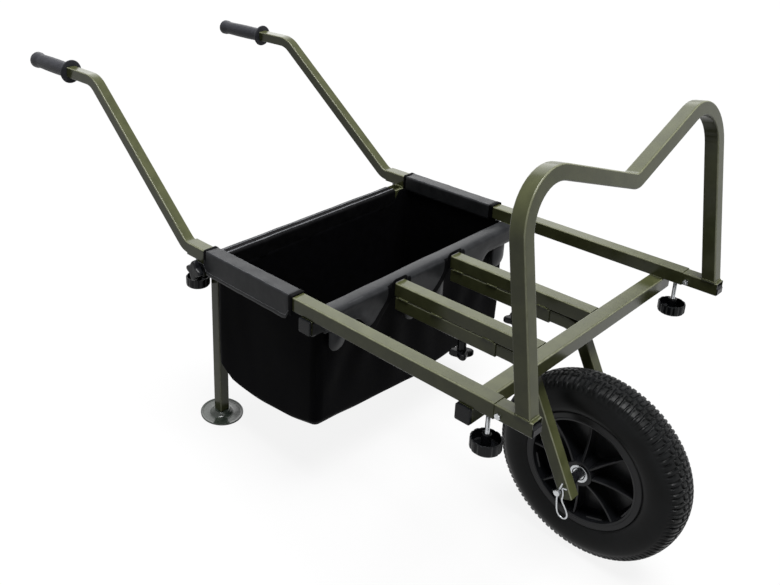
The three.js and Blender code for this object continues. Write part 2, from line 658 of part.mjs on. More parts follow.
function addFork() {
  const rake = THREE.MathUtils.degToRad(FORK_RAKE_DEG);
  const down = [Math.sin(rake), -Math.cos(rake)];
  const axle = [AXLE_AHEAD, -AXLE_DROP];
  const elbowX = axle[0] - (RECEIVER_Z - axle[1]) * Math.tan(rake);
  const end = [axle[0] + down[0] * FORK_END_BELOW_AXLE, axle[1] + down[1] * FORK_END_BELOW_AXLE];
  const tail = -RECEIVER_SETBACK - RECEIVER_LENGTH + FORK_ARM_TAIL;
  const path = bendPath([[tail, RECEIVER_Z], [elbowX, RECEIVER_Z], end], [FORK_BEND_RADIUS]);
  const bore = turnZtoY(rod(AXLE_BORE, -FORK_SECTION, FORK_SECTION)).translate([axle[0], 0, axle[1]]);
  const arm = solidOf(tubeGeometry(path, SIDE_PLANE, FORK_SECTION, RECEIVER_WALL)).subtract(bore);
  for (const [side, sign] of SIDES) {
    piece(`fork_arm_${side}`, arm, PAINT, chassis, [0, sign * INNER_RAIL_Y, 0]);
  }

  const tip = FORK_OUTER_Y + SEAT_GAP + AXLE_TAIL;
  const headSeat = FORK_OUTER_Y + SEAT_GAP;
  const clipY = tip - CLIP_INSET;
  const crossHole = rod(CLIP_WIRE / 2 + SEAT_GAP, -AXLE_DIAMETER, AXLE_DIAMETER);
  const pin = turnZtoY(rod(AXLE_DIAMETER / 2, -tip, headSeat + AXLE_HEAD_THICKNESS / 2))
    .add(turnZtoY(rod(AXLE_HEAD_RADIUS, headSeat, headSeat + AXLE_HEAD_THICKNESS)))
    .subtract(crossHole.translate([0, -clipY, 0]));
  piece('axle_pin', pin, ZINC, chassis, [axle[0], 0, axle[1]]);
  piece('retaining_clip', solidOf(clipGeometry()), ZINC, chassis, [axle[0], -clipY, axle[1]]);

  const hubEnd = HUB_LENGTH / 2 + SEAT_GAP;
  const spacer = turned([
    [AXLE_BORE, hubEnd],
    [SPACER_RADIUS, hubEnd],
    [SPACER_RADIUS, FORK_INNER_Y - SEAT_GAP],
    [AXLE_BORE, FORK_INNER_Y - SEAT_GAP],
  ], ROD_SEGMENTS);
  for (const [side, sign] of SIDES) {
    piece(`axle_spacer_${side}`, turnZtoY(spacer, sign), BLACK_PLASTIC, chassis, [axle[0], 0, axle[1]]);
  }
}

// The clip's wire in its own plane: a straight leg through the pin, a round loop below it, and a
// waved leg that comes back up round the pin's front.
function clipGeometry() {
  const waveX = AXLE_DIAMETER / 2 + CLIP_WIRE / 2 + SEAT_GAP;
  const neckX = CLIP_WIRE + 2 * SEAT_GAP;
  const loopZ = -CLIP_LEG_BELOW - CLIP_LOOP_RADIUS;
  const loopX = neckX / 2;
  const at = (x, z) => new THREE.Vector3(x, 0, z);
  const points = [at(0, CLIP_LEG_ABOVE), at(0, 0), at(0, -CLIP_LEG_BELOW)];
  for (let step = 1; step < CLIP_LOOP_STEPS; step += 1) {
    const angle = Math.PI / 2 + (Math.PI * 2 * step) / CLIP_LOOP_STEPS;
    points.push(at(loopX + CLIP_LOOP_RADIUS * Math.cos(angle), loopZ + CLIP_LOOP_RADIUS * Math.sin(angle)));
  }
  points.push(
    at(neckX, -CLIP_LEG_BELOW + CLIP_WIRE),
    at(neckX, -AXLE_DIAMETER - CLIP_WIRE),
    at(waveX, 0),
    at(neckX + CLIP_WIRE / 2, CLIP_TIP_ABOVE),
    at(neckX + CLIP_TIP_FLARE, CLIP_TIP_ABOVE + CLIP_TIP_FLARE),
  );
  const wire = new THREE.Shape();
  for (let i = 0; i < WIRE_SEGMENTS; i += 1) {
    const angle = (2 * Math.PI * i) / WIRE_SEGMENTS;
    const point = [(CLIP_WIRE / 2) * Math.cos(angle), (CLIP_WIRE / 2) * Math.sin(angle)];
    if (i === 0) wire.moveTo(...point);
    else wire.lineTo(...point);
  }
  wire.closePath();
  return new THREE.ExtrudeGeometry(wire, {
    steps: 4 * points.length,
    extrudePath: new THREE.CatmullRomCurve3(points, false, 'centripetal'),
    bevelEnabled: false,
  });
}

// Radii are measured to the flats, so that the tread's lowest flat lies on the ground.
function flatsRadius(radius) {
  return radius / Math.cos(Math.PI / WHEEL_SEGMENTS);
}

function addWheel() {
  const wheel = new THREE.Group();
  stance.add(wheel);

  const beadRadius = RIM_SEAT_RADIUS + SEAT_GAP;
  const beadHalf = RIM_WIDTH / 2 - RIM_WALL - SEAT_GAP;
  const section = TYRE_SECTION_SHARES.map(([rise, width]) => {
    const radius = beadRadius + rise * (WHEEL_RADIUS - beadRadius);
    const half = (width * TYRE_WIDTH) / 2;
    return [radius, radius < RIM_LIP_RADIUS + SEAT_GAP ? Math.min(half, beadHalf) : half];
  });
  const crown = [WHEEL_RADIUS, 0];
  const centre = [(RIM_SEAT_RADIUS + WHEEL_RADIUS) / 2, 0];
  const inwards = ([radius, y]) => {
    const reach = Math.hypot(radius - centre[0], y - centre[1]);
    const share = 1 - TYRE_WALL / reach;
    return [centre[0] + (radius - centre[0]) * share, y * share];
  };
  const outer = [...section.map(([r, y]) => [r, -y]), crown, ...[...section].reverse()];
  const cavity = [...section.slice(1).map(([r, y]) => [r, -y]), crown, ...section.slice(1).reverse()].map(inwards);
  const beadInner = [beadRadius, section[0][1] - TYRE_WALL];
  const loop = [
    ...outer,
    beadInner,
    ...cavity.reverse(),
    [beadInner[0], -beadInner[1]],
  ].map(([radius, y]) => [flatsRadius(radius), y]);
  const tyre = turned(loop, WHEEL_SEGMENTS);
  piece('tyre', turnToRoll(tyre), TYRE_RUBBER, wheel);

  const lip = RIM_WIDTH / 2;
  const hubHalf = HUB_LENGTH / 2;
  const seat = hubHalf - BEARING_DEPTH - SEAT_GAP;
  const bearingBore = BEARING_RADIUS + SEAT_GAP;
  const throat = (BEARING_RADIUS + AXLE_BORE) / 2;
  const barrelInner = RIM_SEAT_RADIUS - RIM_WALL;
  const halfProfile = [
    [throat, seat],
    [bearingBore, seat],
    [bearingBore, hubHalf],
    [HUB_RADIUS, hubHalf],
    [HUB_RADIUS, RIM_WEB / 2],
    [barrelInner, RIM_WEB / 2],
    [barrelInner, lip],
    [RIM_LIP_RADIUS, lip],
    [RIM_LIP_RADIUS, lip - RIM_WALL],
    [RIM_SEAT_RADIUS, lip - RIM_WALL],
  ];
  const mirrored = [...halfProfile].reverse().map(([radius, y]) => [radius, -y]);
  let rim = turned([...halfProfile, ...mirrored], WHEEL_SEGMENTS);
  const rib = ribBetween((bearingBore + HUB_RADIUS) / 2, HUB_RADIUS, barrelInner, barrelInner + RIM_WALL / 2);
  for (let k = 0; k < RIM_RIB_COUNT; k += 1) {
    rim = rim.add(rib.rotate([0, 0, (360 * k) / RIM_RIB_COUNT - HALF_FACET_DEG]));
  }
  piece('wheel_rim', turnToRoll(rim), BLACK_PLASTIC, wheel);

  const bearing = turned([
    [AXLE_BORE, seat + SEAT_GAP],
    [BEARING_RADIUS, seat + SEAT_GAP],
    [BEARING_RADIUS, hubHalf],
    [AXLE_BORE, hubHalf],
  ], KNOB_SEGMENTS);
  for (const [side, sign] of SIDES) {
    piece(`bearing_${side}`, turnZtoY(bearing, sign), ZINC, wheel);
  }
}

// A radial fin of the rim: deep at the hub, dished midway and deeper again at the barrel.
function ribBetween(root, hub, barrel, tip) {
  const atHub = RIM_RIB_DEPTH_AT_HUB / 2;
  const atBarrel = RIM_RIB_DEPTH_AT_BARREL / 2;
  const dish = RIM_RIB_DEPTH_MIDWAY - (atHub + atBarrel) / 2;
  const midway = (hub + barrel) / 2;
  const outline = new THREE.Shape();
  outline.moveTo(root, -atHub);
  outline.lineTo(hub, -atHub);
  outline.quadraticCurveTo(midway, -dish, barrel, -atBarrel);
  outline.lineTo(tip, -atBarrel);
  outline.lineTo(tip, atBarrel);
  outline.lineTo(barrel, atBarrel);
  outline.quadraticCurveTo(midway, dish, hub, atHub);
  outline.lineTo(root, atHub);
  outline.closePath();
  const fin = new THREE.ExtrudeGeometry(outline, {
    depth: RIM_RIB_WIDTH,
    curveSegments: RIB_CURVE_STEPS,
    bevelEnabled: false,
  });
  return solidOf(fin.translate(0, 0, -RIM_RIB_WIDTH / 2)).rotate([90, 0, 0]);
}

// Turns a wheel part's axis from Z to Y with a flat, not a corner, at its lowest place.
function turnToRoll(solid) {
  return turnZtoY(solid.rotate([0, 0, HALF_FACET_DEG]));
}

// The cloth box hangs in the frame on sleeves round the side rails and the two crossbars.
function addBag() {
  const wall = BAG_WALL;
  const sleeve = SLEEVE_THICKNESS;
  const railOuter = FRAME_WIDTH / 2 + SEAT_GAP;
  const railInner = FRAME_WIDTH / 2 - TUBE_SECTION - SEAT_GAP;
  const railBottom = -TUBE_SECTION - SEAT_GAP;
  const railTop = SEAT_GAP;
  const barTop = CROSSBAR_Z + TUBE_SECTION / 2 + SEAT_GAP;
  const barBottom = CROSSBAR_Z - TUBE_SECTION / 2 - SEAT_GAP;
  const rearFace = REAR_CROSSBAR_X + TUBE_SECTION / 2 + SEAT_GAP;
  const rearBack = REAR_CROSSBAR_X - TUBE_SECTION / 2 - SEAT_GAP;
  const frontBack = MIDDLE_CROSSBAR_X - TUBE_SECTION / 2 - SEAT_GAP;
  const frontFace = MIDDLE_CROSSBAR_X + TUBE_SECTION / 2 + SEAT_GAP;
  const frontWall = MIDDLE_CROSSBAR_X + wall / 2;
  const sideOuter = FRAME_WIDTH / 2 - BAG_SIDE_INSET;
  const rearSleeveHalf = LEG_Y - LEG_SECTION / 2 - SLEEVE_END_INSET;
  const sleeveFront = frontBack - BAG_SLEEVE_FRONT_GAP;
  const flapBottom = barTop - BAG_FRONT_FLAP_DROP;

  const tub = box(rearFace, frontWall, -sideOuter, sideOuter, -BAG_DEPTH, barBottom)
    .subtract(box(
      rearFace + wall, frontWall - wall, -sideOuter + wall, sideOuter - wall,
      -BAG_DEPTH + wall, barBottom + CUT_OVERRUN,
    ));
  const rear = box(rearFace, rearFace + wall, -railInner, railInner, barBottom - wall, barTop + sleeve)
    .add(box(rearBack - sleeve, rearFace + wall, -rearSleeveHalf, rearSleeveHalf, barTop, barTop + sleeve))
    .add(box(rearBack - sleeve, rearBack, -rearSleeveHalf, rearSleeveHalf, barBottom, barTop + sleeve));
  const cutOut = box(
    frontFace - CUT_OVERRUN, frontFace + sleeve + CUT_OVERRUN,
    INNER_RAIL_Y - BAG_FLAP_CUTOUT / 2, INNER_RAIL_Y + BAG_FLAP_CUTOUT / 2,
    flapBottom - CUT_OVERRUN, barTop,
  );
  const flaps = box(frontFace, frontFace + sleeve, -railInner, railInner, flapBottom, barTop + sleeve)
    .subtract(cutOut)
    .subtract(cutOut.mirror([0, 1, 0]));
  const front = box(frontBack - wall, frontBack, -railInner, railInner, barBottom - wall, barTop + sleeve)
    .add(box(frontBack - wall, frontWall, -sideOuter, sideOuter, barBottom - wall, barBottom))
    .add(box(frontBack - wall, frontFace + sleeve, -railInner, railInner, barTop, barTop + sleeve))
    .add(flaps);
  const side = box(rearFace, sleeveFront, railInner - sleeve, railOuter + sleeve, railTop, railTop + sleeve)
    .add(box(rearFace, sleeveFront, railOuter, railOuter + sleeve, -BAG_FLAP_DROP, railTop + sleeve))
    .add(box(rearFace, sleeveFront, railInner - sleeve, railInner, railBottom - sleeve, railTop + sleeve))
    .add(box(rearFace, frontBack, railInner - sleeve, sideOuter, railBottom - sleeve, railBottom))
    .add(box(rearFace, frontBack, sideOuter - wall, sideOuter, barBottom - wall, railBottom));
  const bag = tub.add(rear).add(front).add(side).add(side.mirror([0, 1, 0]));
  piece('bag', bag, BAG_CLOTH, chassis);
}

addWeldedFrame();
addEndCaps();
addFrontBar();
addHandles();
addLegs();
addKnobs();
addFork();
addWheel();
addBag();

// The origin is on the ground, below the middle of the whole trolley's box.
trolley.updateMatrixWorld(true);
const extent = new THREE.Box3().setFromObject(trolley, true);
stance.position.x = -(extent.min.x + extent.max.x) / 2;

export default trolley;
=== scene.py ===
import json
import math

import bmesh
import bpy
from mathutils import Matrix, Vector, noise


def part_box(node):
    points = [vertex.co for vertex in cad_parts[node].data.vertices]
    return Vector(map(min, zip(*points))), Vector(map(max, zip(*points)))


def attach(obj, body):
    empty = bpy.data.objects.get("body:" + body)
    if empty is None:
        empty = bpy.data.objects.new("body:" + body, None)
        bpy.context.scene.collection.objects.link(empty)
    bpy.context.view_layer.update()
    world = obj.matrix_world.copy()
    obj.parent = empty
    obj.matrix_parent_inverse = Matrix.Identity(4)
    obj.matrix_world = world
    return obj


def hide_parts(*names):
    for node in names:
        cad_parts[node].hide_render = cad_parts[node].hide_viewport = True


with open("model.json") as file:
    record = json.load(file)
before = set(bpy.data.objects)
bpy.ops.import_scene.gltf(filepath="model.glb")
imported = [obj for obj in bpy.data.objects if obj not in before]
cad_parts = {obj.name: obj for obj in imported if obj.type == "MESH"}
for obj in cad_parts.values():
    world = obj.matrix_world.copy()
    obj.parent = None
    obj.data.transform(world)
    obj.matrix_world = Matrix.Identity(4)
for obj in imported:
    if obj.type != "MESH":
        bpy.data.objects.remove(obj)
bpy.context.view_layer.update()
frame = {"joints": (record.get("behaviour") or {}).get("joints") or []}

# The trolley stands on its wheel and its two feet, so its welded frame rises a little towards the front.
# The joints give the frame's own directions, and every place below is given along them: x forwards from
# the side rails' front ends, y to the left of the middle, z square to the rails from the rails' top.
AXLE_AHEAD = 0.013
AXLE_DROP = 0.290
joints = {joint["name"]: joint for joint in frame["joints"]}
forward = Vector(joints["front_bar_slide"]["axis"]).normalized()
upward = Vector(joints["leg_slide_left"]["axis"]).normalized()
leftward = Vector((0, 1, 0))
axle = Vector(joints["wheel_spin"]["pos_m"])
rail_tip = axle - forward * AXLE_AHEAD + upward * AXLE_DROP
SIDES = (("left", 1), ("right", -1))


def at(x, y, z):
    return rail_tip + forward * x + leftward * y + upward * z


# The camera stands ahead of the wheel on the right, at head height, and looks back over the frame.
CAMERA_PLACE = (0.6211, -1.3644, 0.8189)
CAMERA_YAW = math.radians(137.639)
CAMERA_PITCH = math.radians(-20.481)
CAMERA_LENS = 40.62
CAMERA_SHIFT = (0.1459, -0.1604)

ahead = (
    forward * (math.cos(CAMERA_PITCH) * math.cos(CAMERA_YAW))
    + leftward * (math.cos(CAMERA_PITCH) * math.sin(CAMERA_YAW))
    + upward * math.sin(CAMERA_PITCH)
)
to_right = ahead.cross(upward).normalized()
camera = bpy.data.objects.new("camera", bpy.data.cameras.new("camera"))
camera.data.lens = CAMERA_LENS
camera.data.shift_x, camera.data.shift_y = CAMERA_SHIFT
camera.matrix_world = Matrix.Translation(at(*CAMERA_PLACE)) @ Matrix(
    (to_right, to_right.cross(ahead), -ahead)
).transposed().to_4x4()
bpy.context.scene.collection.objects.link(camera)
bpy.context.scene.camera = camera

# The studio: a white room that lights the trolley softly from all round, a very broad lamp overhead that
# leans a little to the front, a weak low lamp behind, and a white floor that keeps the shadow.
ROOM_LEVEL = 0.09
LAMP_LEVEL = 4.9
LAMP_SPREAD = math.radians(38)
LAMP_LEAN = math.radians(7)
BACK_LEVEL = 0.65
BACK_SPREAD = math.radians(40)
BACK_TILT = math.radians(66)
BACK_TURN = math.radians(137)
FLOOR_SIZE = 30
FLOOR_BOUNCE = 0.08
FLOOR_GLOW = 0.88

scene = bpy.context.scene
scene.view_settings.view_transform = "Standard"


def add_node(tree, kind, values=(), **settings):
    """A new node, with its own settings and the values of its named or numbered inputs."""
    made = tree.nodes.new(kind)
    for name, setting in settings.items():
        setattr(made, name, setting)
    for name, value in dict(values).items():
        made.inputs[name].default_value = value
    return made


def join(tree, *links):
    """Links nodes, each link given as (node, output, next node, input)."""
    for giver, output, taker, entry in links:
        tree.links.new(giver.outputs[output], taker.inputs[entry])


def seen_rays(tree):
    """1 for the rays that see a surface: straight from the camera, mirrored, or through glass."""
    rays = add_node(tree, "ShaderNodeLightPath")
    direct = add_node(tree, "ShaderNodeMath", operation="MAXIMUM")
    seen = add_node(tree, "ShaderNodeMath", operation="MAXIMUM")
    join(
        tree,
        (rays, "Is Camera Ray", direct, 0),
        (rays, "Is Glossy Ray", direct, 1),
        (direct, "Value", seen, 0),
        (rays, "Is Transmission Ray", seen, 1),
    )
    return seen


world = bpy.data.worlds.new("studio")
scene.world = world
world.use_nodes = True
room = world.node_tree
background = room.nodes["Background"]
background.inputs["Color"].default_value = (1, 1, 1, 1)
level = add_node(room, "ShaderNodeMapRange", {"To Min": ROOM_LEVEL, "To Max": 1.0})
join(room, (seen_rays(room), "Value", level, "Value"), (level, "Result", background, "Strength"))

for lamp_name, strength, spread, tilt, turn in (
    ("lamp_overhead", LAMP_LEVEL, LAMP_SPREAD, LAMP_LEAN, 0),
    ("lamp_behind", BACK_LEVEL, BACK_SPREAD, BACK_TILT, BACK_TURN),
):
    lamp = bpy.data.objects.new(lamp_name, bpy.data.lights.new(lamp_name, "SUN"))
    lamp.data.energy = strength
    lamp.data.angle = spread
    lamp.rotation_euler = (0, tilt, turn)
    scene.collection.objects.link(lamp)

floor_paint = bpy.data.materials.new("floor_white")
floor_paint.use_nodes = True
floor_tree = floor_paint.node_tree
floor_tree.nodes.remove(floor_tree.nodes["Principled BSDF"])
floor_colour = (FLOOR_BOUNCE, FLOOR_BOUNCE, FLOOR_BOUNCE, 1)
floor_matt = add_node(floor_tree, "ShaderNodeBsdfDiffuse", {"Color": floor_colour})
floor_glow = add_node(floor_tree, "ShaderNodeEmission")
glow_level = add_node(floor_tree, "ShaderNodeMath", {1: FLOOR_GLOW}, operation="MULTIPLY")
floor_both = add_node(floor_tree, "ShaderNodeAddShader")
join(
    floor_tree,
    (seen_rays(floor_tree), "Value", glow_level, 0),
    (glow_level, "Value", floor_glow, "Strength"),
    (floor_matt, "BSDF", floor_both, 0),
    (floor_glow, "Emission", floor_both, 1),
    (floor_both, "Shader", floor_tree.nodes["Material Output"], "Surface"),
)
floor_mesh = bpy.data.meshes.new("floor")
reach = FLOOR_SIZE / 2
floor_mesh.from_pydata(
    [(-reach, -reach, 0), (reach, -reach, 0), (reach, reach, 0), (-reach, reach, 0)], [], [(0, 1, 2, 3)]
)
floor_mesh.materials.append(floor_paint)
floor = bpy.data.objects.new("floor", floor_mesh)
scene.collection.objects.link(floor)

# The side rails: two lengths of 30 mm square steel tube with rolled corners, open at both ends, under
# a dark olive powder coat with a fine orange-peel skin. The front bar and the handles slide in them.
FRAME_WIDTH = 0.684
RAIL_LENGTH = 0.788
TUBE_SECTION = 0.030
TUBE_WALL = 0.0012
TUBE_CORNER = 0.0028
CORNER_STEPS = 5
SHARP_EDGE = math.radians(38)
OLIVE = (69, 72, 46)
OLIVE_WORN = (79, 82, 54)
# The edge shades are a painted highlight: a lighter olive laid along the tubes' rounded corners.
OLIVE_EDGE_HIGHLIGHT = (112, 114, 90)
OLIVE_EDGE_HIGHLIGHT_DRIFT = (128, 130, 108)
EDGE_STEPS = (1, 2, 3)
OLIVE_ROUGHNESS = 0.2
OLIVE_GLEAM = 0.22
DRIFT_DETAIL = 4
DRIFT_STOPS = (0.36, 0.64)
GLOSS_SHARES = (0.85, 1.15)
SKIN_DETAIL = 3
SKIN_STRENGTH = 0.5
SCREEN_TOP = 255
SCREEN_OFFSET = 0.055
SCREEN_GAMMA = 2.4
RAIL_Y = (FRAME_WIDTH - TUBE_SECTION) / 2
RAIL_Z = -TUBE_SECTION / 2


def tint(red, green, blue):
    """A colour as a screen shows it, out of 255, made the linear colour that a shader takes."""
    shares = (value / SCREEN_TOP for value in (red, green, blue))
    return (*(((share + SCREEN_OFFSET) / (1 + SCREEN_OFFSET)) ** SCREEN_GAMMA for share in shares), 1)


def finish_of(name, slot, shade, other_shade, roughness, gleam, patch, grain, depth, metallic=0.0):
    """A material whose colour and gloss drift between two close shades, with a fine grain. Its slot is not
    used.
    """
    material = bpy.data.materials.new(name)
    material.use_nodes = True
    tree = material.node_tree
    surface = tree.nodes["Principled BSDF"]
    surface.inputs["Metallic"].default_value = metallic
    surface.inputs["Specular IOR Level"].default_value = gleam
    place = add_node(tree, "ShaderNodeTexCoord")
    drift = add_node(tree, "ShaderNodeTexNoise", {"Scale": 1 / patch, "Detail": DRIFT_DETAIL})
    ramp = add_node(tree, "ShaderNodeValToRGB")
    for stop, position, colour in zip(ramp.color_ramp.elements, DRIFT_STOPS, (shade, other_shade)):
        stop.position = position
        stop.color = tint(*colour)
    smooth, rough = (roughness * share for share in GLOSS_SHARES)
    gloss = add_node(tree, "ShaderNodeMapRange", {"To Min": smooth, "To Max": rough})
    skin = add_node(tree, "ShaderNodeTexNoise", {"Scale": 1 / grain, "Detail": SKIN_DETAIL})
    bump = add_node(tree, "ShaderNodeBump", {"Strength": SKIN_STRENGTH, "Distance": depth})
    join(
        tree,
        (place, "Object", drift, "Vector"),
        (place, "Object", skin, "Vector"),
        (drift, "Fac", ramp, "Fac"),
        (drift, "Fac", gloss, "Value"),
        (ramp, "Color", surface, "Base Color"),
        (gloss, "Result", surface, "Roughness"),
        (skin, "Fac", bump, "Height"),
        (bump, "Normal", surface, "Normal"),
    )
    return material


olive_paint = finish_of(
    "olive_powder_coat", "olive_paint", OLIVE, OLIVE_WORN,
    OLIVE_ROUGHNESS, OLIVE_GLEAM, patch=0.03, grain=0.0016, depth=0.00004,
)
# The painted highlight finish: lighter olive for the middle of each rounded tube corner.
olive_edge_highlight = finish_of(
    "olive_painted_edge_highlight", "olive_paint", OLIVE_EDGE_HIGHLIGHT, OLIVE_EDGE_HIGHLIGHT_DRIFT,
    OLIVE_ROUGHNESS, OLIVE_GLEAM, patch=0.02, grain=0.0016, depth=0.00003,
)


def place_piece(name, made, material, body, *replaced):
    """Makes a built mesh a piece of the trolley: flat faces stay flat, and rounded edges are smooth."""
    mesh = made
    if isinstance(made, bmesh.types.BMesh):
        mesh = bpy.data.meshes.new(name)
        made.to_mesh(mesh)
        made.free()
        mesh.materials.append(material)
        # Olive tubes also carry the painted highlight finish, for their corners.
        if material == olive_paint:
            mesh.materials.append(olive_edge_highlight)
    mesh.shade_smooth()
    mesh.set_sharp_from_angle(angle=SHARP_EDGE)
    item = bpy.data.objects.new(name, mesh)
    scene.collection.objects.link(item)
    item.modifiers.new("even_shading", "WEIGHTED_NORMAL").keep_sharp = True
    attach(item, body)
    if replaced:
        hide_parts(*replaced)
    return item


def square_ring(section, corner):
    """The outline of a square tube with rounded corners, counter-clockwise."""
    flat = section / 2 - corner
    ring = []
    for quarter, (a, b) in enumerate(((1, 1), (-1, 1), (-1, -1), (1, -1))):
        for step in range(CORNER_STEPS + 1):
            angle = math.pi / 2 * (quarter + step / CORNER_STEPS)
            ring.append((a * flat + corner * math.cos(angle), b * flat + corner * math.sin(angle)))
    return ring


def square_tube(stations, side, section=TUBE_SECTION, wall=TUBE_WALL):
    """A square tube along stations of (place, direction) in one plane, which side is square to.

    The middle of each rounded corner takes the second finish, a lighter olive that is a painted highlight.
    """
    outlines = (square_ring(section, TUBE_CORNER), square_ring(section - 2 * wall, TUBE_CORNER - wall / 2))
    built = bmesh.new()
    loops = []
    for place, along in stations:
        across = side.cross(along)
        loops.append([
            [built.verts.new(place + across * a + side * b) for a, b in outline] for outline in outlines
        ])
    count = len(outlines[0])
    for j in range(count):
        k = (j + 1) % count
        for (outer, inner), (next_outer, next_inner) in zip(loops, loops[1:]):
            skin = built.faces.new((outer[j], outer[k], next_outer[k], next_outer[j]))
            # The middle facets of each corner take the painted highlight finish.
            skin.material_index = int(j % (CORNER_STEPS + 1) in EDGE_STEPS)
            built.faces.new((inner[k], inner[j], next_inner[j], next_inner[k]))
        outer, inner = loops[0]
        built.faces.new((outer[k], outer[j], inner[j], inner[k]))
        outer, inner = loops[-1]
        built.faces.new((outer[j], outer[k], inner[k], inner[j]))
    return built


def straight(start, end):
    along = (end - start).normalized()
    return [(start, along), (end, along)]


def tube_piece(node, stations, side, body="chassis", section=TUBE_SECTION, wall=TUBE_WALL):
    """Places a square tube as the dressed form of the node that it stands for."""
    tube = square_tube(stations, side, section, wall)
    return place_piece(f"{node}_tube", tube, olive_paint, body, node)


for side_name, sign in SIDES:
    y = sign * RAIL_Y
    ends = (at(-RAIL_LENGTH, y, RAIL_Z), at(0, y, RAIL_Z))
    tube_piece(f"side_rail_{side_name}", straight(*ends), leftward)

# The crossbars: three lengths of the same tube welded across under the side rails. The rear one has a
# square hole through it at each end for the legs.
SEAT_GAP = 0.0003
CROSSBAR_Z = RAIL_Z - TUBE_SECTION - SEAT_GAP
FRONT_CROSSBAR_X = -0.052
MIDDLE_CROSSBAR_X = -0.416
REAR_CROSSBAR_INSET = 0.047
REAR_CROSSBAR_X = REAR_CROSSBAR_INSET - RAIL_LENGTH
LEG_SECTION = 0.025
leg_low, leg_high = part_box("leg_left")
LEG_Y = (leg_low.y + leg_high.y) / 2


def evaluated_mesh(item):
    """A new mesh of what a piece's modifiers or a curve's bevel make."""
    return bpy.data.meshes.new_from_object(item.evaluated_get(bpy.context.evaluated_depsgraph_get()))


def cut_box(item, low, high):
    """Cuts a square hole, given along the frame's directions, through a piece."""
    cutter_mesh = bpy.data.meshes.new("cutter")
    corners = [at(x, y, z) for x in (low[0], high[0]) for y in (low[1], high[1]) for z in (low[2], high[2])]
    faces = [(0, 1, 3, 2), (4, 6, 7, 5), (0, 4, 5, 1), (2, 3, 7, 6), (0, 2, 6, 4), (1, 5, 7, 3)]
    cutter_mesh.from_pydata(corners, [], faces)
    cutter = bpy.data.objects.new("cutter", cutter_mesh)
    scene.collection.objects.link(cutter)
    cut = item.modifiers.new("hole", "BOOLEAN")
    cut.object = cutter
    item.modifiers.move(len(item.modifiers) - 1, 0)
    with_hole = evaluated_mesh(item)
    item.modifiers.remove(cut)
    item.data = with_hole
    item.data.set_sharp_from_angle(angle=SHARP_EDGE)
    bpy.data.objects.remove(cutter)


crossbars = {}
for node, x in (
    ("crossbar_front", FRONT_CROSSBAR_X),
    ("crossbar_middle", MIDDLE_CROSSBAR_X),
    ("crossbar_rear", REAR_CROSSBAR_X),
):
    ends = (at(x, -FRAME_WIDTH / 2, CROSSBAR_Z), at(x, FRAME_WIDTH / 2, CROSSBAR_Z))
    crossbars[node] = tube_piece(node, straight(*ends), forward)
leg_hole = LEG_SECTION / 2 + SEAT_GAP
for side_name, sign in SIDES:
    y = sign * LEG_Y
    cut_box(
        crossbars["crossbar_rear"],
        (REAR_CROSSBAR_X - leg_hole, y - leg_hole, CROSSBAR_Z - TUBE_SECTION),
        (REAR_CROSSBAR_X + leg_hole, y + leg_hole, CROSSBAR_Z + TUBE_SECTION),
    )

# The inner rails and the fork's receivers: two short rails butted between the front and the middle
# crossbar, each with a heavier receiver tube stitch-welded under it, in which a fork arm slides.
INNER_RAIL_Y = 0.0925
RECEIVER_WALL = 0.0022
RECEIVER_SETBACK = 0.152
RECEIVER_LENGTH = 0.242
RECEIVER_Z = CROSSBAR_Z - TUBE_SECTION - SEAT_GAP
INNER_RAIL_FRONT = FRONT_CROSSBAR_X - TUBE_SECTION / 2 - SEAT_GAP
INNER_RAIL_REAR = MIDDLE_CROSSBAR_X + TUBE_SECTION / 2 + SEAT_GAP
RECEIVER_REAR = -RECEIVER_SETBACK - RECEIVER_LENGTH

for side_name, sign in SIDES:
    y = sign * INNER_RAIL_Y
    ends = (at(INNER_RAIL_REAR, y, CROSSBAR_Z), at(INNER_RAIL_FRONT, y, CROSSBAR_Z))
    tube_piece(f"inner_rail_{side_name}", straight(*ends), leftward)
    ends = (at(RECEIVER_REAR, y, RECEIVER_Z), at(-RECEIVER_SETBACK, y, RECEIVER_Z))
    tube_piece(f"fork_receiver_{side_name}", straight(*ends), leftward, wall=RECEIVER_WALL)

# The plugs: moulded black caps with bevelled edges, pushed into the crossbars' ends and into the front
# ends of the front bar's stubs.
CAP_HEAD = 0.006
CLAMP_PLUG_HEAD = 0.003
CAP_EDGE = 0.0014
CAP_SHANK = 0.012
CAP_FIT = 0.0016
CAP_FACE_INSET = 2.4 * CAP_EDGE
PLASTIC = (17, 18, 20)
PLASTIC_WORN = (25, 26, 29)
black_plastic = finish_of(
    "black_moulding", "black_plastic", PLASTIC, PLASTIC_WORN,
    roughness=0.26, gleam=0.16, patch=0.01, grain=0.0009, depth=0.00003,
)


def skin_rows(built, rows, closed=True):
    """Faces between rows of points, right round each row or from its first point to its last."""
    for near, far in zip(rows, rows[1:]):
        for k in range(len(near) if closed else len(near) - 1):
            n = (k + 1) % len(near)
            built.faces.new((near[k], near[n], far[n], far[k]))


def loft(built, rows):
    """Joins closed rows of points into a solid with both ends closed."""
    skin_rows(built, rows)
    built.faces.new(rows[0][::-1])
    built.faces.new(rows[-1])


def square_loft(rings, start, axis, side):
    """A closed solid through rounded squares, each given as (distance along the axis, size, corner)."""
    across = side.cross(axis)
    built = bmesh.new()
    loops = []
    for distance, size, corner in rings:
        outline = square_ring(size, corner)
        loops.append([built.verts.new(start + axis * distance + across * a + side * b) for a, b in outline])
    loft(built, loops)
    return built


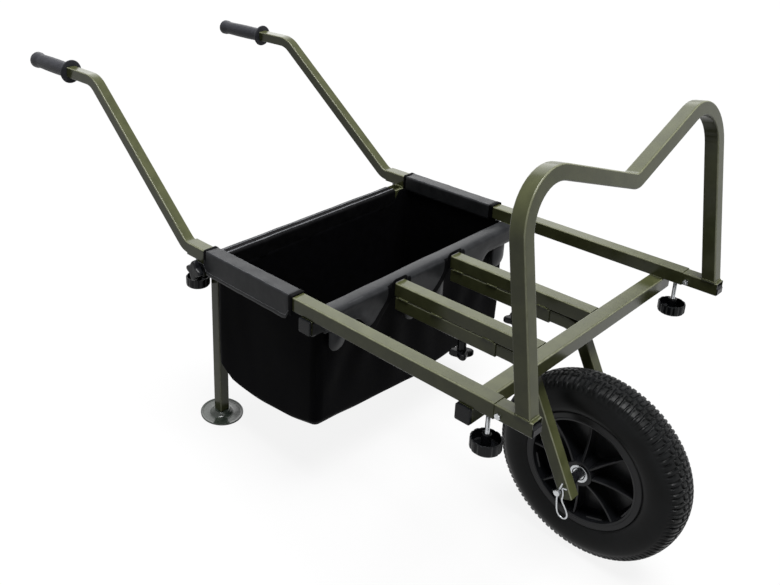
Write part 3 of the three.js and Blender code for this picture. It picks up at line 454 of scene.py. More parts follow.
def cap_rings(head):
    bore = TUBE_SECTION - 2 * TUBE_WALL - CAP_FIT
    rim = TUBE_SECTION - CAP_FIT / 4
    top = SEAT_GAP + head
    return (
        (-CAP_SHANK, bore, TUBE_CORNER / 2),
        (SEAT_GAP, bore, TUBE_CORNER / 2),
        (SEAT_GAP, rim, TUBE_CORNER),
        (top - CAP_EDGE, rim, TUBE_CORNER),
        (top - CAP_EDGE / 3, TUBE_SECTION - CAP_EDGE, TUBE_CORNER),
        (top, TUBE_SECTION - CAP_FACE_INSET, TUBE_CORNER),
    )


for kind, x, head in (
    ("end_cap_front", FRONT_CROSSBAR_X, CAP_HEAD),
    ("end_cap_middle", MIDDLE_CROSSBAR_X, CAP_HEAD),
    ("clamp_plug", REAR_CROSSBAR_X, CLAMP_PLUG_HEAD),
):
    for side_name, sign in SIDES:
        node = f"{kind}_{side_name}"
        place = at(x, sign * FRAME_WIDTH / 2, CROSSBAR_Z)
        cap = square_loft(cap_rings(head), place, leftward * sign, forward)
        place_piece(f"{node}_moulding", cap, black_plastic, "chassis", node)

# The front bar: one tube bent to a broad arch with a dip in its middle, leaning back on two stubs that
# slide in the side rails. Each stub has a zinc stop bolt through it and a black plug in its end.
SLIDING_PLAY = 0.0003
STUB_SECTION = TUBE_SECTION - 2 * (TUBE_WALL + SLIDING_PLAY)
STUB_INSERTION = 0.140
STUB_REACH = 0.068
BAR_BASE_AHEAD = 0.049
BAR_LEAN = math.radians(8.3)
BAR_SHOULDER_HEIGHT = 0.392
BAR_DIP_HEIGHT = 0.285
BAR_SHOULDER_RADIUS = 0.082
BAR_DIP_RADIUS = 0.034
BEND_STEPS = 14
STUB_TOP = RAIL_Z + STUB_SECTION / 2 + SEAT_GAP


def bend_line(corners, radii):
    """Stations of (place, direction) in a plane along a line whose corners are rounded."""
    def heading(start, end):
        return (end - start).normalized()

    line = [(corners[0], heading(corners[0], corners[1]))]
    for k, radius in enumerate(radii, start=1):
        before = heading(corners[k - 1], corners[k])
        after = heading(corners[k], corners[k + 1])
        turn = math.atan2(before.cross(after), before.dot(after))
        reach_back = radius * math.tan(abs(turn) / 2)
        inner = math.copysign(radius, turn)
        centre = corners[k] - before * reach_back + Vector((-before.y, before.x)) * inner
        for step in range(BEND_STEPS + 1):
            angle = turn * step / BEND_STEPS
            along = Vector((
                before.x * math.cos(angle) - before.y * math.sin(angle),
                before.x * math.sin(angle) + before.y * math.cos(angle),
            ))
            line.append((centre + Vector((along.y, -along.x)) * inner, along))
    line.append((corners[-1], heading(corners[-2], corners[-1])))
    return line


def lay_out(line, origin, u, v):
    """The stations of a plane line, set in space along the two directions u and v."""
    return [(origin + u * place.x + v * place.y, (u * along.x + v * along.y)) for place, along in line]


bar_up = upward * math.cos(BAR_LEAN) - forward * math.sin(BAR_LEAN)
arch = bend_line(
    [
        Vector((-RAIL_Y, 0)),
        Vector((-RAIL_Y, BAR_SHOULDER_HEIGHT)),
        Vector((0, BAR_DIP_HEIGHT)),
        Vector((RAIL_Y, BAR_SHOULDER_HEIGHT)),
        Vector((RAIL_Y, 0)),
    ],
    (BAR_SHOULDER_RADIUS, BAR_DIP_RADIUS, BAR_SHOULDER_RADIUS),
)
bar = square_tube(
    lay_out(arch, at(BAR_BASE_AHEAD, 0, 0), leftward, bar_up), leftward.cross(bar_up), STUB_SECTION
)
for corner in bar.verts:
    height = (corner.co - at(0, 0, STUB_TOP)).dot(upward)
    if height < STUB_SECTION:
        corner.co -= bar_up * (height / math.cos(BAR_LEAN))
place_piece("front_bar_tube", bar, olive_paint, "front_bar", "front_bar")

PLUG_DEPTH = 0.018
PLUG_STANDOUT = 0.002
PLUG_TOP_DROP = 0.008
PLUG_BEVEL = 0.004
PLUG_EDGE = 0.0007
for side_name, sign in SIDES:
    y = sign * RAIL_Y
    ends = (at(-STUB_INSERTION, y, RAIL_Z), at(STUB_REACH, y, RAIL_Z))
    tube_piece(f"front_stub_{side_name}", straight(*ends), leftward, "front_bar", STUB_SECTION)

    half = STUB_SECTION / 2 - TUBE_WALL - SEAT_GAP
    plug = bmesh.new()
    outline = [
        (STUB_REACH - PLUG_DEPTH, -half),
        (STUB_REACH + PLUG_STANDOUT, -half),
        (STUB_REACH + PLUG_STANDOUT, half - PLUG_TOP_DROP - PLUG_BEVEL),
        (STUB_REACH + PLUG_STANDOUT - PLUG_BEVEL, half - PLUG_TOP_DROP),
        (STUB_REACH - PLUG_DEPTH, half - PLUG_TOP_DROP),
    ]
    loft(plug, [
        [plug.verts.new(at(x, y + edge, RAIL_Z + z)) for x, z in outline] for edge in (-half, half)
    ])
    bmesh.ops.recalc_face_normals(plug, faces=plug.faces)
    bmesh.ops.bevel(plug, geom=plug.edges, offset=PLUG_EDGE, segments=2, affect="EDGES")
    node = f"stub_plug_{side_name}"
    place_piece(f"{node}_moulding", plug, black_plastic, "front_bar", node)

# The stop bolts: M6 hexagon bolts with their nuts, through the stubs just ahead of the side rails, in
# bright zinc. Their heads are on the outer side.
STOP_BOLT_AHEAD = 0.009
STOP_BOLT_Z = -0.019
BOLT_RADIUS = 0.003
HEX_FLATS = 0.010
BOLT_HEAD = 0.004
NUT_HEIGHT = 0.005
BOLT_TIP = 0.0025
HEX_CHAMFER = 0.0007
HEX_SEGMENTS = 48
ZINC = (176, 179, 182)
ZINC_DULL = (198, 200, 202)
zinc = finish_of(
    "zinc_plate", "zinc", ZINC, ZINC_DULL,
    roughness=0.24, gleam=0.5, patch=0.004, grain=0.0012, depth=0.00002, metallic=1.0,
)


def turned(profile, segments, origin, axis, shape=None):
    """A turned solid from (radius, height) pairs about an axis, from pole to pole or closed on itself."""
    lies_across = abs(axis.dot(leftward)) > math.cos(math.pi / 4)
    across = axis.orthogonal().normalized() if lies_across else leftward
    beside = axis.cross(across)
    built = bmesh.new()
    rings = []
    for radius, height in profile:
        if radius == 0:
            rings.append([built.verts.new(origin + axis * height)] * segments)
            continue
        ring = []
        for k in range(segments):
            angle = 2 * math.pi * k / segments
            r, h = shape(radius, height, angle) if shape else (radius, height)
            place = origin + axis * h + across * (r * math.cos(angle)) + beside * (r * math.sin(angle))
            ring.append(built.verts.new(place))
        rings.append(ring)
    if profile[0][0] > 0:
        rings.append(rings[0])
    for near, far in zip(rings, rings[1:]):
        for k in range(segments):
            n = (k + 1) % segments
            corners = []
            for corner in (near[k], near[n], far[n], far[k]):
                if corner not in corners:
                    corners.append(corner)
            if len(corners) > 2:
                built.faces.new(corners)
    bmesh.ops.recalc_face_normals(built, faces=built.faces)
    return built


def turned_piece(node, form, profile, segments, place, axis, material, body, shape=None):
    """Places a turned solid as the dressed form of the node that it stands for."""
    solid = turned(profile, segments, place, axis, shape)
    return place_piece(f"{node}_{form}", solid, material, body, node)


def hexagon(radius, height, angle):
    """Brings a round rim in to a hexagon's flats, where it lies outside them."""
    from_flat = (angle % (math.pi / 3)) - math.pi / 6
    return min(radius, HEX_FLATS / 2 / math.cos(from_flat)), height


hex_corner = HEX_FLATS / math.sqrt(3)
for side_name, sign in SIDES:
    centre = at(STOP_BOLT_AHEAD, sign * RAIL_Y, STOP_BOLT_Z)
    outward = leftward * sign
    seat = STUB_SECTION / 2 + SEAT_GAP
    tip = -seat - NUT_HEIGHT - BOLT_TIP
    head = [
        (0, tip),
        (BOLT_RADIUS - HEX_CHAMFER, tip),
        (BOLT_RADIUS, tip + HEX_CHAMFER),
        (BOLT_RADIUS, seat),
        (hex_corner, seat),
        (hex_corner, seat + BOLT_HEAD - HEX_CHAMFER),
        (HEX_FLATS / 2, seat + BOLT_HEAD),
        (HEX_FLATS / 2 - HEX_CHAMFER, seat + BOLT_HEAD),
        (0, seat + BOLT_HEAD - HEX_CHAMFER / 2),
    ]
    nut = [
        (BOLT_RADIUS + SEAT_GAP, -seat - NUT_HEIGHT),
        (HEX_FLATS / 2, -seat - NUT_HEIGHT),
        (hex_corner, -seat - NUT_HEIGHT + HEX_CHAMFER),
        (hex_corner, -seat - HEX_CHAMFER),
        (HEX_FLATS / 2, -seat),
        (BOLT_RADIUS + SEAT_GAP, -seat),
    ]
    for node, profile in ((f"stop_bolt_{side_name}", head), (f"stop_nut_{side_name}", nut)):
        turned_piece(node, "hex", profile, HEX_SEGMENTS, centre, outward, zinc, "front_bar", hexagon)

# The handles: two tubes bent like an S, sliding in the rear ends of the side rails and leaning inwards
# by the play in them.
HANDLE_SECTION = 0.026
HANDLE_INSERTION = 0.130
HANDLE_BEND_START = 0.001
HANDLE_RISE = math.radians(39)
HANDLE_HEIGHT = 0.282
HANDLE_LEAN = math.radians(2.5)
HANDLE_LOWER_RADIUS = 0.036
HANDLE_UPPER_RADIUS = 0.060
GRIP_FLANGE_BEHIND = 0.490
GRIP_LENGTH = 0.176
GRIP_END_WALL = 0.004

handle_foot = -RAIL_LENGTH - HANDLE_BEND_START - HANDLE_LOWER_RADIUS * math.tan(HANDLE_RISE / 2)
handle_head = handle_foot - (HANDLE_HEIGHT - RAIL_Z) / math.tan(HANDLE_RISE)
grip_flange = -RAIL_LENGTH - GRIP_FLANGE_BEHIND
handle_line = bend_line(
    [
        Vector((HANDLE_INSERTION - RAIL_LENGTH, 0)),
        Vector((handle_foot, 0)),
        Vector((handle_head, HANDLE_HEIGHT - RAIL_Z)),
        Vector((grip_flange - GRIP_LENGTH + GRIP_END_WALL + SEAT_GAP, HANDLE_HEIGHT - RAIL_Z)),
    ],
    (HANDLE_LOWER_RADIUS, HANDLE_UPPER_RADIUS),
)


def handle_up(sign):
    """The way a handle rises, leaning inwards."""
    return upward * math.cos(HANDLE_LEAN) - leftward * (sign * math.sin(HANDLE_LEAN))


for side_name, sign in SIDES:
    rise = handle_up(sign)
    stations = lay_out(handle_line, at(0, sign * RAIL_Y, RAIL_Z), forward, rise)
    node = f"handle_{side_name}"
    tube_piece(node, stations, forward.cross(rise), node, HANDLE_SECTION)

# The grips: dark grey rubber moulded over the handles' ends, with a broad thumb flange, a slightly
# barrelled body with fine rings, and a swelling at the closed end.
GRIP_RADIUS = 0.018
GRIP_SWELL = 0.0205
GRIP_FLANGE_RADIUS = 0.029
GRIP_FLANGE = 0.006
GRIP_RINGS = 26
GRIP_RING_DEPTH = 0.00035
GRIP_SEGMENTS = 64
GRIP_LIP = 0.0004
GRIP_BARREL = 0.0009
GRIP_RINGS_FROM = 0.018
GRIP_RINGS_TO = GRIP_LENGTH - 0.030
FLANGE_EDGE = (
    (-0.003, 0),
    (-0.0008, 0.0009),
    (0, GRIP_FLANGE / 2),
    (-0.0008, GRIP_FLANGE - 0.0009),
    (-0.003, GRIP_FLANGE),
)
GRIP_NECK = ((0.002, 0.0006), (0.0004, 0.003))
GRIP_WAIST = ((0.0008, -0.022),)
GRIP_END = ((0, -0.013), (0, -0.004), (-0.0012, -0.0012), (-0.004, 0))
GRIP_GREY = (42, 43, 48)
GRIP_GREY_WORN = (54, 55, 60)
grip_rubber = finish_of(
    "grip_rubber", "grip_rubber", GRIP_GREY, GRIP_GREY_WORN,
    roughness=0.5, gleam=0.2, patch=0.012, grain=0.0008, depth=0.00005,
)


def shifted(radius, height, offsets):
    """Points of a profile, each given by how far it lies out and up from a radius and a height."""
    return [(radius + out, height + up) for out, up in offsets]


mouth_radius = HANDLE_SECTION / 2 - TUBE_CORNER
grip_profile = [(0, GRIP_FLANGE), (mouth_radius, GRIP_FLANGE), (mouth_radius, GRIP_LIP)]
grip_profile += shifted(GRIP_FLANGE_RADIUS, 0, FLANGE_EDGE) + shifted(GRIP_RADIUS, GRIP_FLANGE, GRIP_NECK)
for k in range(2 * GRIP_RINGS + 1):
    share = k / (2 * GRIP_RINGS)
    barrel = GRIP_RADIUS + GRIP_BARREL * math.sin(math.pi * share)
    groove = GRIP_RING_DEPTH if k % 2 else 0
    grip_profile.append((barrel - groove, GRIP_RINGS_FROM + share * (GRIP_RINGS_TO - GRIP_RINGS_FROM)))
grip_profile += shifted(GRIP_RADIUS, GRIP_LENGTH, GRIP_WAIST) + shifted(GRIP_SWELL, GRIP_LENGTH, GRIP_END)
grip_profile.append((0, GRIP_LENGTH))
for side_name, sign in SIDES:
    node = f"grip_{side_name}"
    body = f"handle_{side_name}"
    mouth = at(grip_flange, sign * RAIL_Y, RAIL_Z) + handle_up(sign) * (HANDLE_HEIGHT - RAIL_Z)
    turned_piece(node, "rubber", grip_profile, GRIP_SEGMENTS, mouth, -forward, grip_rubber, body)

# The legs and feet: straight 25 mm tubes that slide up through the rear crossbar, each welded to a
# pressed disc foot with a raised collar, in a smoother grey-green gloss coat.
LEG_REACH = 0.437
LEG_TOP_STANDOUT = 0.002
FOOT_RADIUS = 0.0495
FOOT_PLATE = 0.003
FOOT_DISH = 0.004
FOOT_COLLAR = 0.021
FOOT_COLLAR_HEIGHT = 0.009
FOOT_SEGMENTS = 72
FOOT_RIM = (
    (-0.001, 0),
    (0, 0.001),
    (0, FOOT_DISH - 0.0008),
    (-0.0008, FOOT_DISH),
    (-0.0022, FOOT_DISH),
    (-0.0045, FOOT_DISH - 0.0004),
    (-0.007, FOOT_PLATE),
)
COLLAR_FLARE = ((0.008, 0.0004), (0.003, 0.0018), (0, 0.005))
COLLAR_EDGE = ((-0.0015, -0.001), (-0.0035, 0))
FOOT_GREEN = (50, 57, 51)
FOOT_GREEN_WORN = (64, 71, 64)
foot_gloss = finish_of(
    "foot_gloss_coat", "foot_metal", FOOT_GREEN, FOOT_GREEN_WORN,
    roughness=0.13, gleam=0.5, patch=0.012, grain=0.003, depth=0.00003,
)

leg_bottom = -LEG_REACH + FOOT_PLATE + FOOT_COLLAR_HEIGHT + 4 * SEAT_GAP
leg_top = CROSSBAR_Z + TUBE_SECTION / 2 + LEG_TOP_STANDOUT
collar_top = FOOT_PLATE + FOOT_COLLAR_HEIGHT
foot_profile = [
    (0, 0),
    *shifted(FOOT_RADIUS, 0, FOOT_RIM),
    *shifted(FOOT_COLLAR, FOOT_PLATE, COLLAR_FLARE),
    *shifted(FOOT_COLLAR, collar_top, COLLAR_EDGE),
    (0, collar_top),
]
for side_name, sign in SIDES:
    y = sign * LEG_Y
    node = f"leg_{side_name}"
    ends = (at(REAR_CROSSBAR_X, y, leg_bottom), at(REAR_CROSSBAR_X, y, leg_top))
    tube_piece(node, straight(*ends), forward, node, LEG_SECTION)
    low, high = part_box(f"foot_{side_name}")
    middle = Vector(((low.x + high.x) / 2, y, 0))
    plumb = Vector((0, 0, 1))
    foot = f"foot_{side_name}"
    turned_piece(foot, "disc", foot_profile, FOOT_SEGMENTS, middle, plumb, foot_gloss, node)

# The fork: two 25 mm arms that slide in the receivers and bend down to the axle, on which they carry
# the wheel between two bushes.
FORK_SECTION = TUBE_SECTION - 2 * (RECEIVER_WALL + SLIDING_PLAY)
FORK_RAKE = math.radians(26.5)
FORK_BEND_RADIUS = 0.045
FORK_END_BELOW_AXLE = 0.022
FORK_TAIL = 0.060

down_fork = Vector((math.sin(FORK_RAKE), -math.cos(FORK_RAKE)))
axle_in_frame = Vector((AXLE_AHEAD, -AXLE_DROP))
fork_line = bend_line(
    [
        Vector((RECEIVER_REAR + FORK_TAIL, RECEIVER_Z)),
        Vector((AXLE_AHEAD - (RECEIVER_Z + AXLE_DROP) * math.tan(FORK_RAKE), RECEIVER_Z)),
        axle_in_frame + down_fork * FORK_END_BELOW_AXLE,
    ],
    (FORK_BEND_RADIUS,),
)
for side_name, sign in SIDES:
    stations = lay_out(fork_line, at(0, sign * INNER_RAIL_Y, 0), forward, upward)
    side = forward.cross(upward)
    tube_piece(f"fork_arm_{side_name}", stations, side, "fork", FORK_SECTION, RECEIVER_WALL)

# The axle: a zinc-plated pin with a flat head on the left, two bushes that keep the wheel in the middle
# of the fork, and the bearings in the hub.
AXLE_RADIUS = 0.006
AXLE_HEAD_RADIUS = 0.010
AXLE_HEAD = 0.005
AXLE_TAIL = 0.021
BUSH_RADIUS = 0.0085
HUB_LENGTH = 0.096
BEARING_RADIUS = 0.0175
BEARING_DEPTH = 0.011
OUTER_RACE_BORE = 0.0128
INNER_RACE_RADIUS = 0.0108
SEAL_DROP = 0.0014
RACE_CHAMFER = 0.0005
PIN_CHAMFER = 0.0012
PIN_HEAD_EDGE = 0.001
ROUND_SEGMENTS = 48
fork_outer = INNER_RAIL_Y + FORK_SECTION / 2 + SEAT_GAP
fork_inner = INNER_RAIL_Y - FORK_SECTION / 2 - SEAT_GAP

pin_tail = -fork_outer - AXLE_TAIL
pin_profile = [
    (0, pin_tail),
    (AXLE_RADIUS - PIN_CHAMFER, pin_tail),
    (AXLE_RADIUS, pin_tail + PIN_CHAMFER),
    (AXLE_RADIUS, fork_outer),
    (AXLE_HEAD_RADIUS, fork_outer),
    (AXLE_HEAD_RADIUS, fork_outer + AXLE_HEAD - PIN_HEAD_EDGE),
    (AXLE_HEAD_RADIUS - PIN_HEAD_EDGE, fork_outer + AXLE_HEAD),
    (0, fork_outer + AXLE_HEAD),
]
turned_piece("axle_pin", "bar", pin_profile, ROUND_SEGMENTS, axle, leftward, zinc, "fork")
for side_name, sign in SIDES:
    bush = [
        (AXLE_RADIUS + SEAT_GAP, HUB_LENGTH / 2 + SEAT_GAP),
        (BUSH_RADIUS, HUB_LENGTH / 2 + SEAT_GAP),
        (BUSH_RADIUS, fork_inner),
        (AXLE_RADIUS + SEAT_GAP, fork_inner),
    ]
    node = f"axle_spacer_{side_name}"
    outward = leftward * sign
    turned_piece(node, "bush", bush, ROUND_SEGMENTS, axle, outward, black_plastic, "fork")
    face = HUB_LENGTH / 2
    bearing = [
        (AXLE_RADIUS + SEAT_GAP, face - BEARING_DEPTH),
        (BEARING_RADIUS, face - BEARING_DEPTH),
        (BEARING_RADIUS, face - RACE_CHAMFER),
        (BEARING_RADIUS - RACE_CHAMFER, face),
        (OUTER_RACE_BORE, face),
        (OUTER_RACE_BORE, face - SEAL_DROP),
        (INNER_RACE_RADIUS, face - SEAL_DROP),
        (INNER_RACE_RADIUS, face),
        (AXLE_RADIUS + SEAT_GAP, face),
    ]
    seal = [
        (INNER_RACE_RADIUS, face - SEAL_DROP),
        (INNER_RACE_RADIUS, face - SEAL_DROP / 2),
        (OUTER_RACE_BORE, face - SEAL_DROP / 2),
        (OUTER_RACE_BORE, face - SEAL_DROP),
    ]
    ring = turned(seal, ROUND_SEGMENTS, axle, outward)
    place_piece(f"bearing_{side_name}_seal", ring, black_plastic, "wheel")
    node = f"bearing_{side_name}"
    turned_piece(node, "race", bearing, ROUND_SEGMENTS, axle, outward, zinc, "wheel")

# The retaining clip: 3 mm spring wire, one straight leg through the axle pin's end, a pear-shaped loop
# below it, and a waved leg that comes back up round the pin.
CLIP_WIRE = 0.003
CLIP_INSET = 0.009
CLIP_PATH = (
    (0.0062, 0.0216),
    (0.0030, 0.0110),
    (0.0, 0.0),
    (-0.0016, -0.0150),
    (0.0, -0.0300),
    (0.0018, -0.0424),
    (0.0075, -0.0500),
    (0.0160, -0.0516),
    (0.0222, -0.0458),
    (0.0222, -0.0370),
    (0.0160, -0.0255),
    (0.0078, -0.0150),
    (0.0098, -0.0050),
    (0.0088, 0.0040),
    (0.0062, 0.0102),
    (0.0095, 0.0122),
    (0.0158, 0.0134),
)
clip_y = -fork_outer - AXLE_TAIL + CLIP_INSET
clip_curve = bpy.data.curves.new("retaining_clip_wire", "CURVE")
clip_curve.dimensions = "3D"
clip_curve.bevel_depth = CLIP_WIRE / 2
clip_curve.bevel_resolution = 4
clip_curve.use_fill_caps = True
spline = clip_curve.splines.new("NURBS")
spline.points.add(len(CLIP_PATH) - 1)
spline.use_endpoint_u = True
spline.order_u = 3
for point, (x, z) in zip(spline.points, CLIP_PATH):
    point.co = (*at(AXLE_AHEAD + x, clip_y, z - AXLE_DROP), 1)
clip_line = bpy.data.objects.new("clip_line", clip_curve)
scene.collection.objects.link(clip_line)
wire = evaluated_mesh(clip_line)
bpy.data.objects.remove(clip_line)
wire.materials.clear()
wire.materials.append(zinc)
place_piece("retaining_clip_wire", wire, zinc, "fork", "retaining_clip")

# The tyre: a black rubber barrow tyre with a plain flank. Its tread has a stepped groove on each side of
# the middle, blocks beside it, and narrow bars that run down over the shoulders.
WHEEL_RADIUS = 0.184
TYRE_WIDTH = 0.090
RIM_SEAT = 0.104
TREAD_DEPTH = 0.0036
TREAD_PITCHES = 54
TREAD_HALF = 0.0405
TREAD_CELL = 0.0013
TREAD_SINK = 0.0015
TREAD_EDGE_SINK = 0.0003
TREAD_BACK_SHARE = 0.97
PATTERN_SHARE = 0.96
TREAD_BACK_STEPS = 10
TREAD_SIDE_SHIFT = 0.5
GROOVE_SLOPE = 0.0011
SHOULDER_FADE = 0.0085
TYRE_SEGMENTS = 144
TYRE_WALL = 0.008
TYRE_BLACK = (16, 17, 17)
TYRE_BLACK_WORN = (23, 24, 25)
tyre_rubber = finish_of(
    "tyre_rubber", "tyre", TYRE_BLACK, TYRE_BLACK_WORN,
    roughness=0.36, gleam=0.10, patch=0.03, grain=0.0012, depth=0.00006,
)

# Half of the section from the bead out to the crown: heights over the rim seat and half widths, as
# shares of the tyre's height and of its half width.
TYRE_SECTION_SHARES = (
    (0.0, 0.72),
    (0.10, 0.74),
    (0.165, 0.79),
    (0.20, 0.86),
    (0.25, 0.925),
    (0.35, 0.975),
    (0.47, 1.0),
    (0.60, 0.995),
    (0.72, 0.955),
    (0.82, 0.87),
    (0.895, 0.74),
    (0.945, 0.57),
    (0.978, 0.36),
    (0.995, 0.15),
    (1.0, 0.0),
)
carcass_crown = WHEEL_RADIUS - TREAD_DEPTH
tyre_height = carcass_crown - RIM_SEAT - SEAT_GAP
flank = [
    (RIM_SEAT + SEAT_GAP + rise * tyre_height, width * TYRE_WIDTH / 2) for rise, width in TYRE_SECTION_SHARES
]
tyre_heart = RIM_SEAT + tyre_height / 2


def inner_wall(radius, half):
    reach_out = math.hypot(radius - tyre_heart, half)
    share = 1 - TYRE_WALL / reach_out
    return tyre_heart + (radius - tyre_heart) * share, half * share


tyre_outer = [(radius, -half) for radius, half in flank] + list(reversed(flank[:-1]))
tyre_inner = [inner_wall(radius, half) for radius, half in reversed(tyre_outer[2:-2])]
tyre = turned(tyre_outer + tyre_inner, TYRE_SEGMENTS, axle, leftward)
place_piece("tyre_carcass", tyre, tyre_rubber, "wheel", "tyre")


def copying_tree(name, **inputs):
    """A node tree that sets copies of a form: its named inputs, its first node and its placing node."""
    tree = bpy.data.node_groups.new(name, "GeometryNodeTree")
    for label, kind in {"Geometry": "Geometry", **inputs, "Material": "Material"}.items():
        tree.interface.new_socket(label, in_out="INPUT", socket_type=f"NodeSocket{kind}")
    tree.interface.new_socket("Geometry", in_out="OUTPUT", socket_type="NodeSocketGeometry")
    given = add_node(tree, "NodeGroupInput")
    copies = add_node(tree, "GeometryNodeInstanceOnPoints")
    whole = add_node(tree, "GeometryNodeRealizeInstances")
    coat = add_node(tree, "GeometryNodeSetMaterial")
    join(
        tree,
        (copies, "Instances", whole, "Geometry"),
        (whole, "Geometry", coat, "Geometry"),
        (given, "Material", coat, "Material"),
        (coat, "Geometry", add_node(tree, "NodeGroupOutput"), "Geometry"),
    )
    return tree, given, copies


def ring_tree():
    """A node tree that sets copies of a mesh evenly round the wheel's axle."""
    tree, given, copies = copying_tree("copies_round_axle", Copies="Int", Axle="Vector")
    points = add_node(tree, "GeometryNodePoints")
    centred = add_node(tree, "GeometryNodeTransform")
    away = add_node(tree, "ShaderNodeVectorMath", operation="SCALE")
    away.inputs["Scale"].default_value = -1
    number = add_node(tree, "GeometryNodeInputIndex")
    per_copy = add_node(tree, "ShaderNodeMath", {0: 2 * math.pi}, operation="DIVIDE")
    angle = add_node(tree, "ShaderNodeMath", operation="MULTIPLY")
    turn = add_node(tree, "ShaderNodeCombineXYZ")
    join(
        tree,
        (given, "Geometry", centred, "Geometry"),
        (given, "Axle", away, 0),
        (away, "Vector", centred, "Translation"),
        (given, "Copies", points, "Count"),
        (given, "Axle", points, "Position"),
        (given, "Copies", per_copy, 1),
        (number, "Index", angle, 0),
        (per_copy, "Value", angle, 1),
        (angle, "Value", turn, "Y"),
        (points, "Points", copies, "Points"),
        (centred, "Geometry", copies, "Instance"),
        (turn, "Vector", copies, "Rotation"),
    )
    return tree


def grown(item_mesh, tree, values):
    """The mesh that a node tree makes of another, with the tree's named inputs set."""
    item = bpy.data.objects.new("growing", item_mesh)
    scene.collection.objects.link(item)
    grower = item.modifiers.new("growing", "NODES")
    grower.node_group = tree
    for socket in tree.interface.items_tree:
        if socket.in_out == "INPUT" and socket.name in values:
            grower[socket.identifier] = values[socket.name]
    made = evaluated_mesh(item)
    bpy.data.objects.remove(item)
    return made


round_axle = ring_tree()


def carcass_place(y):
    """The carcass's radius at a distance from the tyre's middle, and its slope there as a normal."""
    half = abs(y)
    for (outer_r, outer_y), (inner_r, inner_y) in zip(flank[::-1], flank[-2::-1]):
        if outer_y <= half <= inner_y:
            share = (half - outer_y) / (inner_y - outer_y)
            slope = Vector((inner_y - outer_y, outer_r - inner_r)).normalized()
            return outer_r + share * (inner_r - outer_r), math.copysign(slope.y, y), slope.x
    return flank[0][0], math.copysign(1, y), 0


def wheel_place(radius, angle, y):
    """A place on the wheel, from its radius, its turn from straight ahead and its distance to the left."""
    return axle + leftward * y + Vector((math.cos(angle), 0, math.sin(angle))) * radius


def groove_depth(along, y):
    """How deep the tread's pattern is cut at a place: along one pitch, and across from the middle.

    Each side has a stepped groove beside the middle, a cross groove down to a broken second groove, and
    bars over the shoulder whose grooves fade down the flank.
    """
    near = abs(y)
    along = along if y < 0 else (along + TREAD_SIDE_SHIFT * pitch) % pitch
    deepest = 0.0
    for a0, y0, a1, y1, width, depth in GROOVES:
        for wrap in (-pitch, 0, pitch):
            run = Vector((a1 - a0, y1 - y0))
            off = Vector((along + wrap - a0, near - y0))
            share = max(0.0, min(1.0, off.dot(run) / run.length_squared))
            gap = (off - run * share).length - width / 2
            if gap < GROOVE_SLOPE:
                deepest = max(deepest, depth * min(1.0, 1 - gap / GROOVE_SLOPE))
    fade = max(0.0, min(1.0, (TREAD_HALF - near) / SHOULDER_FADE))
    return deepest * fade


pitch = 2 * math.pi * WHEEL_RADIUS / TREAD_PITCHES
step_at = 0.06 * pitch
hat_at = 0.70 * pitch
bar_at = 0.72 * pitch
MIDDLE_GROOVE = 0.0012
HAT = -0.0022
SECOND_GROOVE = 0.0140
SECOND_JOG = 0.0156
BAR_HALF = 0.0030
BAR_FOOT = 0.0262
BAR_FLARE = (0.0014, 0.0018, 0.0022)
BAR_TAIL_SHARE = 0.8
BAR_GROOVE = 0.0024
BAR_TAIL_GROOVE = 0.0026

# Each groove runs from one place to another, given as (along, across) twice, with its width and depth.
GROOVES = [
    (step_at, MIDDLE_GROOVE, hat_at, MIDDLE_GROOVE, 0.0016, TREAD_DEPTH),
    (hat_at, MIDDLE_GROOVE, hat_at, HAT, 0.0012, TREAD_DEPTH),
    (hat_at, HAT, pitch + step_at, HAT, 0.0014, TREAD_DEPTH),
    (step_at, HAT, step_at, MIDDLE_GROOVE, 0.0012, TREAD_DEPTH),
    (step_at, MIDDLE_GROOVE, step_at - 0.0012, SECOND_GROOVE, 0.0020, TREAD_DEPTH),
    (0.56 * pitch, MIDDLE_GROOVE, 0.58 * pitch, SECOND_GROOVE * 0.9, 0.0022, TREAD_DEPTH),
    (-0.06 * pitch, SECOND_GROOVE, 0.20 * pitch, SECOND_GROOVE, 0.0018, TREAD_DEPTH),
    (0.20 * pitch, SECOND_GROOVE, 0.24 * pitch, SECOND_JOG, 0.0018, TREAD_DEPTH),
    (0.24 * pitch, SECOND_JOG, 0.60 * pitch, SECOND_JOG, 0.0018, TREAD_DEPTH),
]
for side, head in ((-1, SECOND_JOG), (1, SECOND_GROOVE)):
    top, foot, tail = (bar_at + side * BAR_HALF + side * flare for flare in BAR_FLARE)
    GROOVES.append((top, head, foot, BAR_FOOT, BAR_GROOVE, TREAD_DEPTH))
    GROOVES.append((foot, BAR_FOOT, tail, TREAD_HALF, BAR_TAIL_GROOVE, TREAD_DEPTH * BAR_TAIL_SHARE))

